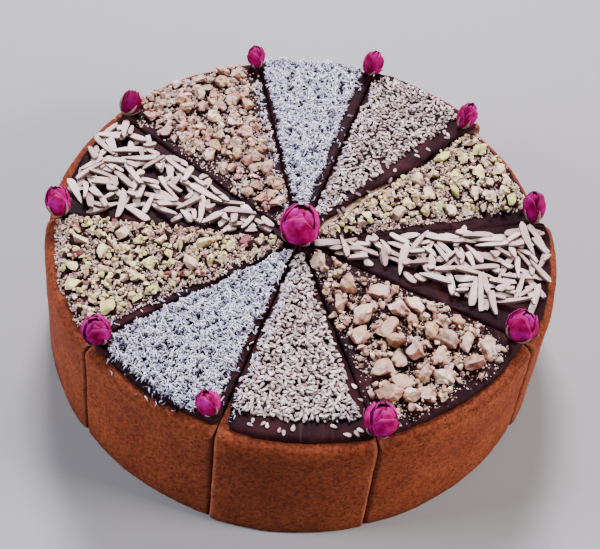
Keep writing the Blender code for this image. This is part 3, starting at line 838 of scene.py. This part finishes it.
def lay_shred(laid, wedge, rng, spot, clump, highest):
    """Drops one shred on a slice, if the heap is not yet higher than given."""
    length = rng.uniform(0.0011, 0.0034)
    width = rng.uniform(0.0006, 0.0012)
    heading = rng.uniform(0, math.tau)
    base, slope, covering = lay(spot.x, spot.y, heading, length, width, 0.0005, steepest=0.9, sink=0.0)
    level = (base - chocolate_top(wedge)) / (0.0024 + 0.0016 * clump)
    if level > highest:
        return
    # Painted shade: shreds lower in the heap get a darker value, and shreds in clumps a lighter one.
    shade = limited(rng.gauss(0.36, 0.24) + 0.50 * level + 0.60 * clump)
    size = (length / 2, width / 2, rng.uniform(0.00020, 0.00034))
    lift = rng.uniform(-0.4, 0.5)
    z = base + 0.0003 + abs(lift) * length * 0.25
    settle(laid, spot.x, spot.y, z, rng.uniform(-1.4, 1.4), slope + lift, heading, size, shade, covering)


SHRED_TRIES, BEFORE_STRAY_SHREDS = 6800, 6400
shred_body = lying("GeometryNodeMeshCylinder", {"Vertices": 3, "Side Segments": 2, "Depth": 2.0})
laid = []
for wedge, rng in slices_with("coconut", 20):
    for attempt in range(SHRED_TRIES):
        stray = attempt > BEFORE_STRAY_SHREDS
        spot = strewn(wedge, rng, rng.uniform(0.0020, 0.0056) if stray else 0.0)
        if near_bud(spot.x, spot.y, 0.0012) or (spot - TIN_MIDDLE).length > RIM_RADIUS - 0.0008:
            continue
        clump = patchiness(spot, 260, 6.0)
        if clump > rng.uniform(-0.85, 0.05):
            lay_shred(laid, wedge, rng, spot, clump, 0.3 if stray else 1.0)
on_slices("coconut", grow("coconut_shreds", laid, shred_body, shred_shape, coconut, {"Curl": 0.30}))

# some shreds fell over the cut on the slice beside: its number, the side and how many
for number, side, count in ((0, 0, 130), (8, 1, 50), (4, 1, 60), (6, 0, 170)):
    laid = []
    wedge = wedges[number]
    rng = random.Random(60 + number)
    start, outward, inward = (wedge.right, wedge.left)[side]
    for attempt in range(count):
        spot = start + outward * rng.uniform(0.014, 0.112) + inward * (0.0016 + abs(rng.gauss(0, 0.0024)))
        if near_bud(spot.x, spot.y, 0.0016) or (spot - TIN_MIDDLE).length > wedge.chocolate_radius - 0.002:
            continue
        if wedge.distance_to_cuts(spot)[1 - side] > 0.002:
            lay_shred(laid, wedge, rng, spot, 0.2, 0.9)
    piece = grow(wedge.named("stray_shreds"), laid, shred_body, shred_shape, coconut, {"Curl": 0.30})
    tie(piece, wedge.topping + "_top", wedge.named("icing"))

# Chopped pistachios
# Pistachio kernels chopped with a knife: pale yellow-green bits with flat cuts, some with
# their thin reddish skin, among fine crumbs and powder from the chopping.


def chopped_body(fineness):
    def body(tree):
        return node(tree, "GeometryNodeMeshIcoSphere", {"Subdivisions": fineness}).outputs["Mesh"]
    return body


def chopped_shape(cuts, shallow, deep):
    def shape(tree, own, size, given):
        """A lumpy bit with flat knife cuts, different on every piece."""
        inputs = {"Vector": own, "W": picked(tree, 0, 90, 77), "Scale": given["Lumps"], "Detail": 1.0}
        lumps = node(tree, "ShaderNodeTexNoise", inputs, noise_dimensions="4D").outputs[0]
        bit = vector_calc(tree, "SCALE", own, plus(tree, 0.42, times(tree, lumps, 1.16)))
        whole = bit
        for seed in range(0, cuts * 5, 5):
            way = joined(tree, *[picked(tree, -1, 1, seed + axis) for axis in (1, 2, 3)])
            way = vector_calc(tree, "NORMALIZE", way, (0, 0, 0))
            reach = vector_calc(tree, "DOT_PRODUCT", bit, way)
            beyond = calc(tree, "SUBTRACT", reach, picked(tree, shallow, deep, seed + 4))
            cut_off = vector_calc(tree, "SCALE", way, calc(tree, "MAXIMUM", beyond, 0.0))
            bit = vector_calc(tree, "SUBTRACT", bit, cut_off)
        removed = vector_calc(tree, "LENGTH", vector_calc(tree, "SUBTRACT", whole, bit), (0, 0, 0))
        return vector_calc(tree, "MULTIPLY", bit, size), scaled(tree, removed, 0.005, 0.06)
    return shape


pistachio, tree, shader, place = new_finish("pistachio_kernel", 0.6, 0.35)
shade = stored(tree, "shade")
grain = mottle(tree, place, 700.0, 3.0)
flesh = ramp(tree, shade, (0.02, (0.26, 0.062, 0.070)), (0.06, (0.50, 0.29, 0.24)),
             (0.22, (0.80, 0.63, 0.43)), (0.60, (0.97, 0.86, 0.50)), (0.84, (0.84, 0.79, 0.29)),
             (1.0, (0.46, 0.50, 0.12)))
skin = ramp(tree, shade, (0.0, (0.22, 0.045, 0.055)), (0.20, (0.36, 0.11, 0.11)), (0.30, (0.58, 0.42, 0.29)),
            (1.0, (0.60, 0.50, 0.24)))
coloured = mix(tree, stored(tree, "cut"), skin, flesh)
coloured = shaded(tree, coloured, 0.7, grain, 0.34, (0.74, 0.70, 0.66), 0.58)
paint(tree, shader, with_painted_side_shade(tree, coloured, (0.55, 0.495, 0.495)))
roughen(tree, shader, 0.4, 0.0004, grain)

powder_finish, tree, shader, place = new_finish("nut_powder", 0.8, 0.25)
coloured = ramp(tree, stored(tree, "shade"), (0.0, (0.22, 0.080, 0.09)), (0.20, (0.46, 0.27, 0.26)),
                (0.45, (0.60, 0.45, 0.36)), (0.7, (0.78, 0.66, 0.46)), (1.0, (0.82, 0.78, 0.76)))
paint(tree, shader, with_painted_side_shade(tree, coloured, (0.60, 0.54, 0.54)))


def strew_chopped(laid, wedge, rng, count, small, large, pile, grown=0.0, lean=0.5, around=(), apart=0.0021,
                  patchy=0.0):
    """Lays chopped bits of mixed sizes on a slice, the largest first, many of them close
    to the pieces given as around and patchy ones in drifts."""
    for size in sorted((small + (large - small) * rng.random() ** 1.6 for i in range(count)), reverse=True):
        for attempt in range(6):
            spot = strewn(wedge, rng, grown - size * 0.3)
            if around and rng.random() < 0.9:
                x, y, z = rng.choice(around)[0]
                spot = Vector((x + rng.gauss(0, apart), y + rng.gauss(0, apart)))
                limit = RIM_RADIUS - CHOCOLATE_RIM - wedge.bare - 0.001
                if min(wedge.distance_to_cuts(spot)) < 0.0007 or (spot - TIN_MIDDLE).length > limit:
                    continue
            if patchiness(spot, 95, 8.0) < rng.uniform(-1.0, 0.6) * patchy - (1 - patchy):
                continue
            if near_bud(spot.x, spot.y, size * 0.5 + 0.0006):
                continue
            heading = rng.uniform(0, math.tau)
            width = size * rng.uniform(0.66, 0.92)
            thick = size * 0.70 * rng.uniform(0.75, 1.1)
            base, slope, covering = lay(spot.x, spot.y, heading, size * 0.8, width * 0.8, thick * 0.85,
                                        steepest=0.5, sink=0.16)
            if base > chocolate_top(wedge) + pile * (0.15 if size > 0.004 else 1.0):
                continue
            settle(laid, spot.x, spot.y, base + thick / 2, rng.uniform(-lean, lean), slope, heading,
                   (size / 2, width / 2, thick / 2), rng.random(), covering)
            break


def chopped(topping, name, laid, fineness, cuts, finish, lumps, grain, roughness, sharp):
    """Grows chopped bits: cuts is how many knife cuts a bit has, and how shallow and deep."""
    sizes = {"Lumps": lumps, "Grain": grain, "Roughness": roughness}
    on_slices(topping, grow(name, laid, chopped_body(fineness), chopped_shape(*cuts), finish, sizes, sharp))


bits, grains, powder = [], [], []
for wedge, rng in slices_with("pistachio", 30):
    left = wedge.number == 8
    strew_chopped(bits, wedge, rng, 112 if left else 130, small=0.0044, large=0.0104, pile=0.0070,
                  patchy=0.6)
    strew_chopped(grains, wedge, rng, 560 if left else 400, small=0.0014, large=0.0040, pile=0.0036,
                  grown=0.0006, patchy=0.5)
    strew_chopped(powder, wedge, rng, 3300 if left else 2300, small=0.0006, large=0.0017, pile=0.0024,
                  grown=0.0018 if left else 0.0006, patchy=0.3 if left else 0.5)
chopped("pistachio", "pistachio_bits", bits, 3, (10, 0.30, 0.66), pistachio, 1.1, 420.0, 0.0014, 32)
chopped("pistachio", "pistachio_grains", grains, 2, (8, 0.34, 0.70), pistachio, 1.0, 700.0, 0.0006, 34)
chopped("pistachio", "pistachio_powder", powder, 1, (1, 0.5, 0.9), powder_finish, 0.6, 900.0, 0.0003, 34)

# Chopped walnuts
# Walnut kernels broken and chopped coarsely, up to 12 mm: cream inside, lobed and wrinkled
# where the light brown skin is left, with a sprinkling of fine crumbs between them.
walnut, tree, shader, place = new_finish("walnut_kernel", 0.58, 0.38)
patches = mottle(tree, place, 260.0, 4.0)
grain = mottle(tree, place, 1100.0, 2.0)
flesh = ramp(tree, stored(tree, "shade"), (0.0, (0.42, 0.25, 0.17)), (0.4, (0.62, 0.46, 0.34)),
             (1.0, (0.88, 0.76, 0.60)))
skin = ramp(tree, patches, (0.36, (0.34, 0.140, 0.075)), (0.50, (0.54, 0.32, 0.22)),
            (0.64, (0.74, 0.56, 0.44)))
covered = ramp(tree, stored(tree, "cut"), (0.0, (0.85, 0.85, 0.85)), (1.0, BLACK))
coloured = mix(tree, covered, flesh, skin)
stained = ramp(tree, patches, (0.53, BLACK), (0.63, (0.62, 0.62, 0.62)))
coloured = mix(tree, stained, coloured, (0.50, 0.235, 0.120))
tint = ramp(tree, mottle(tree, place, 120.0, 1.0), (0.38, (0.98, 1.02, 0.82)), (0.50, (0.98, 1.0, 1.06)),
            (0.62, (1.0, 0.90, 1.00)))
coloured = shaded(tree, tinted(tree, coloured, tint), 0.7, grain, 0.34, (0.76, 0.71, 0.66), 0.60)
paint(tree, shader, with_painted_side_shade(tree, coloured, (0.50, 0.31, 0.25)))
roughen(tree, shader, 0.45, 0.0005, plus(tree, patches, grain))

chunks, bits, crumbs = [], [], []
for wedge, rng in slices_with("walnut", 40):
    front = wedge.number == 1
    chunk, bit = len(chunks), len(bits)
    strew_chopped(chunks, wedge, rng, 74 if front else 80, small=0.0054, large=0.0122 if front else 0.0094,
                  pile=0.0090, lean=0.7)
    strew_chopped(bits, wedge, rng, 270 if front else 340, small=0.0016, large=0.0056, pile=0.0036, lean=0.7,
                  around=chunks[chunk:], apart=0.0036)
    strew_chopped(crumbs, wedge, rng, 2100 if front else 3400, small=0.0004,
                  large=0.0014 if front else 0.0018, pile=0.0022, grown=-0.0010,
                  around=chunks[chunk:] + bits[bit:], apart=0.0028)
chopped("walnut", "walnut_chunks", chunks, 4, (5, 0.40, 0.86), walnut, 1.2, 240.0, 0.0024, 42)
chopped("walnut", "walnut_bits", bits, 2, (6, 0.40, 0.80), walnut, 1.0, 380.0, 0.0007, 40)
chopped("walnut", "walnut_crumbs", crumbs, 1, (3, 0.3, 0.7), powder_finish, 0.6, 900.0, 0.0004, 34)

# Almond slivers
# Blanched almonds cut lengthwise into sticks, 5 to 20 mm long. Each is a little bowed, with
# one end pointed and the other often cut short, and they lie across each other.


def sliver_shape(tree, own, size, given):
    """A bowed stick, broad in the middle, with slanted ends."""
    x, y, z = parts_of(tree, own)
    half_length, half_width, half_thick = parts_of(tree, size)
    blunt = picked(tree, 0.12, 0.84, 1)
    x_squared = times(tree, x, x)
    round_off = calc(tree, "SQRT", calc(tree, "MAXIMUM", calc(tree, "SUBTRACT", 1.0, x_squared), 0.0))
    broad = plus(tree, blunt, times(tree, round_off, calc(tree, "SUBTRACT", 1.0, blunt)))
    broad = times(tree, broad, plus(tree, 1.0, times(tree, x, picked(tree, -0.55, 0.55, 2))))
    squarer = [calc(tree, "MINIMUM", times(tree, side, 1.26), 1.0) for side in (y, z)]
    squarer_y, squarer_z = [calc(tree, "MAXIMUM", side, -1.0) for side in squarer]
    bow = times(tree, x_squared, times(tree, half_length, picked(tree, -0.10, 0.10, 3)))
    across = times(tree, squarer_y, half_width, broad)
    up = times(tree, squarer_z, half_thick, plus(tree, 0.45, times(tree, broad, 0.55)))
    slant = times(tree, across, times(tree, x, picked(tree, -0.9, 0.9, 4)))
    return joined(tree, plus(tree, times(tree, x, half_length), slant), plus(tree, across, bow), up), None


almond, tree, shader, place = new_finish("blanched_almond", 0.5, 0.4)
patches = mottle(tree, place, 190.0, 3.0)
grain = mottle(tree, place, 1300.0, 2.0)
coloured = ramp(tree, stored(tree, "shade"), (0.0, (0.46, 0.33, 0.28)), (0.4, (0.64, 0.49, 0.44)),
                (1.0, (0.86, 0.70, 0.64)))
coloured = shaded(tree, coloured, 0.8, patches, 0.34, (0.82, 0.74, 0.66), 0.60)
coloured = shaded(tree, coloured, 0.5, grain, 0.34, (0.84, 0.80, 0.77), 0.60)
# Painted shade: each sliver is darker on its lower half.
over = parts_of(tree, stored(tree, "own", "Vector"))[2]
coloured = shaded(tree, coloured, 1.0, over, 0.0, (0.50, 0.42, 0.40), 0.68)
paint(tree, shader, with_painted_side_shade(tree, coloured, (0.40, 0.36, 0.36)))
roughen(tree, shader, 0.25, 0.0003, grain)

SLIVER_TRIES, NARROW_TRIES = 2600, 150
SLIVERS_ON_A_SLICE = 122
laid = []
for wedge, rng in slices_with("almond", 50):
    placed = 0
    for attempt in range(SLIVER_TRIES):
        if placed >= SLIVERS_ON_A_SLICE:
            break
        narrow = attempt < NARROW_TRIES
        long = rng.random() < 0.72 and not narrow
        length = rng.uniform(0.0095, 0.0196) if long else rng.uniform(0.0045, 0.0095)
        spot = strewn(wedge, rng, 0.0 if narrow else -length * 0.20)
        heading = rng.uniform(0, math.tau)
        if narrow:
            if (spot - HUB).length > 0.034:
                continue
            heading = math.atan2(spot.y - HUB.y, spot.x - HUB.x) + rng.uniform(-0.4, 0.4)
        if near_bud(spot.x, spot.y, length * 0.5 * 0.8 + 0.001):
            continue
        width = rng.uniform(0.0021, 0.0037)
        thick = rng.uniform(0.0014, 0.0021)
        half = Vector((math.cos(heading), math.sin(heading))) * length / 2
        ends = (spot - half, spot + half)
        if min(min(wedge.distance_to_cuts(end)) for end in ends) < 0.0005:
            continue
        if max((end - TIN_MIDDLE).length for end in ends) > wedge.chocolate_radius:
            continue
        base, slope, covering = lay(spot.x, spot.y, heading, length * 0.88, width * 0.8, thick,
                                    steepest=0.34, sink=0.12)
        if base > chocolate_top(wedge) + 0.0026:
            continue
        settle(laid, spot.x, spot.y, base + thick / 2, rng.uniform(-0.2, 0.2), slope, heading,
               (length / 2, width / 2, thick / 2), rng.random(), covering)
        placed += 1
sliver_body = lying("GeometryNodeMeshCylinder", {"Vertices": 8, "Side Segments": 9, "Depth": 2.0})
on_slices("almond", grow("almond_slivers", laid, sliver_body, sliver_shape, almond, {}, 38))

# Rosebuds
# Whole dried rosebuds, 10 to 18 mm wide: shut buds of thin magenta petals with paler rims,
# wrapped over each other, held by grey-green sepals on a small hip. They are stood in the
# icing over each cut near the round edge, and the largest one at the hub.
CENTRE_BUD = 10

# a bud's outline: how far up, and how wide there
EGG = ((0.0, 0.08, 0.20, 0.36, 0.55, 0.72, 0.86, 0.95, 1.0),
       (0.26, 0.55, 0.83, 0.98, 1.0, 0.90, 0.68, 0.46, 0.34))

# how bright each bud's petals are
TONES = (0.9, 0.85, 0.6, 0.5, 0.7, 0.55, 0.7, 0.0, 0.8, 0.55, 1.0)


def bud_radius(share):
    return float(np.interp(share, *EGG))


def add_shell(shape, rims, outer, inner, columns, material, rim_of):
    """A thin closed leaf from two grids of places, with a value that is 1 at its rim."""
    rows = len(outer) // columns
    sides = []
    for grid in (outer, inner):
        made = [shape.verts.new(spot) for spot in grid]
        for index, vertex in enumerate(made):
            rims[vertex] = rim_of(index % columns / (columns - 1), index // columns / (rows - 1))
        sides.append(made)
    front, behind = sides
    quads = []
    for row in range(rows - 1):
        for column in range(columns - 1):
            a = row * columns + column
            quads.append([front[a], front[a + 1], front[a + columns + 1], front[a + columns]])
            quads.append([behind[a + columns], behind[a + columns + 1], behind[a + 1], behind[a]])
    edge = list(range(columns)) + [row * columns + columns - 1 for row in range(1, rows)]
    edge += [(rows - 1) * columns + column for column in range(columns - 2, -1, -1)]
    edge += [row * columns for row in range(rows - 2, 0, -1)]
    for here, there in zip(edge, edge[1:] + edge[:1]):
        quads.append([front[there], front[here], behind[here], behind[there]])
    for quad in quads:
        face = shape.faces.new(quad)
        face.material_index = material
        face.smooth = True


def on_ring(turn, radius, height):
    return Vector((math.cos(turn) * radius, math.sin(turn) * radius, height))


def petal(shape, rims, rng, width, length, phase, span, reach, tight, lap, flare):
    """One petal wrapped round the bud; lap lifts one edge of it over its neighbour."""
    columns, rows = 15, 12
    outer, inner = [], []
    ruffle = rng.uniform(0, math.tau)
    for row in range(rows):
        up = row / (rows - 1)
        for column in range(columns):
            side = column / (columns - 1) * 2 - 1
            top = reach * (1 - 0.26 * abs(side) ** 2.4) + 0.02 * math.sin(side * 5 + ruffle)
            share = 0.03 + (top - 0.03) * up
            half = span * (0.45 + 0.55 * math.sin(math.pi * min(1.0, 0.22 + up * 0.62)))
            turn = phase + side * half
            lift = lap * (side + 1) / 2 * min(1.0, up * 2.5) + flare * up ** 5
            lift += 0.00022 * math.sin(side * 9 + ruffle) * up ** 2
            radius = width / 2 * bud_radius(min(1.0, share)) * tight + lift
            skin = 0.00022 if radius > 0.0008 else 0.0001
            outer.append(on_ring(turn, radius, share * length))
            inner.append(on_ring(turn, radius - skin, share * length))

    def rim_of(across, up):
        return max(up ** 7, abs(across * 2 - 1) ** 9 * min(1.0, up * 2))

    add_shell(shape, rims, outer, inner, columns, 0, rim_of)


def sepal(shape, rims, width, length, phase, reach, flare):
    """One narrow green leaf that holds the bud from below."""
    columns, rows = 5, 9
    outer, inner = [], []
    for row in range(rows):
        up = row / (rows - 1)
        share = 0.03 + (reach - 0.03) * up
        half = width * 0.10 * math.sin(math.pi * (0.22 + 0.74 * up)) ** 0.8 * (1 - 0.5 * up)
        radius = width / 2 * bud_radius(min(1.0, share)) * 1.07 + flare * up ** 3 + 0.0002
        for column in range(columns):
            side = column / (columns - 1) * 2 - 1
            turn = phase + side * half / radius
            out = radius - 0.0002 * side * side
            outer.append(on_ring(turn, out, share * length))
            inner.append(on_ring(turn, out - 0.00028, share * length))
    add_shell(shape, rims, outer, inner, columns, 1, lambda across, up: up)


def closed_core(shape, rims, width, length, foot, top, tight, material, ridges):
    """A closed body round the bud's middle line, with soft spiral ridges."""
    columns, rows = 18, 10
    rings = []
    for row in range(rows + 1):
        up = row / rows
        share = foot + (top - foot) * up
        swell = bud_radius(share) if material == 0 else math.sin(math.pi * (0.12 + 0.5 * up))
        size = width / 2 * tight * swell
        if material == 0:
            size *= 1 - 0.75 * up ** 5
        ring = []
        for column in range(columns):
            turn = math.tau * column / columns
            radius = size * (1 + ridges * math.cos(turn * 3 + up * 4))
            vertex = shape.verts.new(on_ring(turn, radius, share * length))
            rims[vertex] = 0.0
            ring.append(vertex)
        rings.append(ring)
    faces = [list(reversed(rings[0])), rings[-1]]
    for low, high in zip(rings, rings[1:]):
        for column in range(columns):
            after = (column + 1) % columns
            faces.append([low[column], low[after], high[after], high[column]])
    for corners in faces:
        face = shape.faces.new(corners)
        face.material_index = material
        face.smooth = True


petal_finish, tree, shader, place = new_finish("dried_rose_petal", 0.62, 0.03)
patches = mottle(tree, place, 240.0, 4.0)
coloured = ramp(tree, patches, (0.32, (0.20, 0.0, 0.034)), (0.50, (0.36, 0.0, 0.110)),
                (0.68, (0.48, 0.0, 0.290)))
pale = ramp(tree, stored(tree, "rim"), (0.5, BLACK), (1.0, (0.30, 0.30, 0.30)))
coloured = mix(tree, pale, coloured, (0.54, 0.07, 0.42))
paint(tree, shader, shaded(tree, coloured, 1.0, stored(tree, "tone"), 0.0, (0.32, 0.45, 0.24), 1.0))
roughen(tree, shader, 0.45, 0.0006, plus(tree, patches, times(tree, mottle(tree, place, 1500.0, 2.0), 0.4)))

sepal_finish, tree, shader, place = new_finish("dried_sepal", 0.75, 0.25)
patches = mottle(tree, place, 420.0, 3.0)
coloured = ramp(tree, patches, (0.34, (0.10, 0.085, 0.045)), (0.55, (0.20, 0.165, 0.11)),
                (0.75, (0.32, 0.25, 0.20)))
paint(tree, shader, mix(tree, times(tree, stored(tree, "rim"), 0.5), coloured, (0.38, 0.22, 0.23)))
roughen(tree, shader, 0.4, 0.0004, patches)

for number, (x, y, width, length, heading, lean) in enumerate(BUDS):
    name = "rosebud_centre" if number == CENTRE_BUD else "rosebud_%02d" % (number + 1)
    rng = random.Random(400 + number)
    phase = rng.uniform(0, math.tau)
    shape = bmesh.new()
    rims = {}
    closed_core(shape, rims, width, length, 0.05, 0.90, 0.74, 0, 0.06)
    closed_core(shape, rims, width * 0.52, length, 0.0, 0.14, 1.0, 1, 0.0)
    # three rings of three petals, from the inside out: turn, span, lowest and highest reach,
    # how tight, lap, least and most flare
    for turn, span, low, high, tight, lap, shut, open_wide in (
            (1.0, 1.15, 0.94, 0.99, 0.80, 0.0004, -0.0008, None),
            (2.1, 1.20, 0.92, 0.99, 0.89, 0.0004, -0.0005, None),
            (0.0, 1.25, 0.84, 0.98, 0.95, 0.0005, -0.0003, 0.0004)):
        for step in range(3):
            reach = rng.uniform(low, high)
            flare = shut if open_wide is None else rng.uniform(shut, open_wide)
            start = phase + turn + step * math.tau / 3
            petal(shape, rims, rng, width, length, start, span, reach, tight, lap, flare)
    for step in range(5):
        sepal_phase = phase + (step + rng.uniform(-0.2, 0.2)) * math.tau / 5
        sepal(shape, rims, width, length, sepal_phase, rng.uniform(0.30, 0.62), rng.uniform(0.0001, 0.0008))
    mesh = bpy.data.meshes.new(name + "_petals")
    order = [rims[vertex] for vertex in shape.verts]
    shape.to_mesh(mesh)
    shape.free()
    mesh.attributes.new("rim", "FLOAT", "POINT").data.foreach_set("value", order)
    mesh.attributes.new("tone", "FLOAT", "POINT").data.foreach_set("value", [TONES[number]] * len(order))
    mesh.materials.append(petal_finish)
    mesh.materials.append(sepal_finish)
    spin = Matrix.Rotation(math.radians(heading), 4, "Z") @ Matrix.Rotation(math.radians(lean), 4, "Y")
    mesh.transform(spin)
    low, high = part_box(name)
    spread = [[vertex.co[axis] for vertex in mesh.vertices] for axis in range(3)]
    fit = min((high[axis] - low[axis]) / (max(spread[axis]) - min(spread[axis])) for axis in range(3))
    mesh.transform(Matrix.Scale(fit, 4))
    middle = Vector(((low.x + high.x) / 2, (low.y + high.y) / 2, low.z))
    own_x, own_y = [(max(spread[axis]) + min(spread[axis])) / 2 for axis in (0, 1)]
    mesh.transform(Matrix.Translation(middle - Vector((own_x, own_y, min(spread[2]))) * fit))
    set_in_place(mesh, "rosebud", name)

# Camera, floor and light
# The view from the front and above, as far off and as long a lens as the fit to the photo
# gave, with soft light from both sides and from behind.
target = Vector((0.0009, 0.0004, 0.03)) + Vector((TIN_MIDDLE.x, TIN_MIDDLE.y, 0.0))
elevation = math.radians(51.5264)
roll = math.radians(7.0628)
back = Vector((0.0, -math.cos(elevation), math.sin(elevation)))
right = Vector((1.0, 0.0, 0.0))
up = right.cross(-back)
camera_right = right * math.cos(roll) + up * math.sin(roll)
camera_up = -right * math.sin(roll) + up * math.cos(roll)
lens = bpy.data.cameras.new("camera")
lens.sensor_width = 36.0
lens.lens = 1100.0 / 600.0 * 36.0
lens.clip_start = 0.01
camera = bpy.data.objects.new("camera", lens)
turn = Matrix((camera_right, camera_up, back)).transposed()
camera.matrix_world = Matrix.Translation(target + back * 0.5472) @ turn.to_4x4()
bpy.context.scene.collection.objects.link(camera)
bpy.context.scene.camera = camera

floor_mesh = bpy.data.meshes.new("floor")
floor_mesh.from_pydata([(-3, -3, 0), (3, -3, 0), (3, 3, 0), (-3, 3, 0)], [], [[0, 1, 2, 3]])
floor = bpy.data.objects.new("floor", floor_mesh)
bpy.context.scene.collection.objects.link(floor)
floor_finish, tree, shader, place = new_finish("pale_floor", 0.85)
shader.inputs["Base Color"].default_value = (0.30, 0.30, 0.30, 1.0)
floor_mesh.materials.append(floor_finish)
floor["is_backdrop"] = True


def soft_light(name, spot, size, power, colour):
    """A square lamp that is aimed at the cake."""
    lamp = bpy.data.lights.new(name, "AREA")
    lamp.shape = "RECTANGLE"
    lamp.size = size
    lamp.size_y = size
    lamp.energy = power
    lamp.color = colour
    holder = bpy.data.objects.new(name, lamp)
    holder.location = spot
    holder.rotation_euler = (Vector((0.0, 0.0, 0.05)) - Vector(spot)).to_track_quat("-Z", "Y").to_euler()
    bpy.context.scene.collection.objects.link(holder)


soft_light("ceiling", (-0.12, 0.75, 1.00), 0.3, 34.0, (0.93, 0.87, 1.0))
soft_light("right", (1.15, -0.15, 0.75), 0.4, 29.0, (1.0, 0.93, 0.92))
soft_light("left", (-1.15, -0.25, 0.75), 0.4, 23.0, (0.86, 0.88, 1.0))
surround = bpy.data.worlds.new("surround")
surround.use_nodes = True
surround.node_tree.nodes["Background"].inputs["Color"].default_value = (0.80, 0.84, 0.90, 1.0)
surround.node_tree.nodes["Background"].inputs["Strength"].default_value = 0.07
bpy.context.scene.world = surround

size = {"cad": [list(corner) for corner in cad_box], "visual": [list(corner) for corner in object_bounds()]}
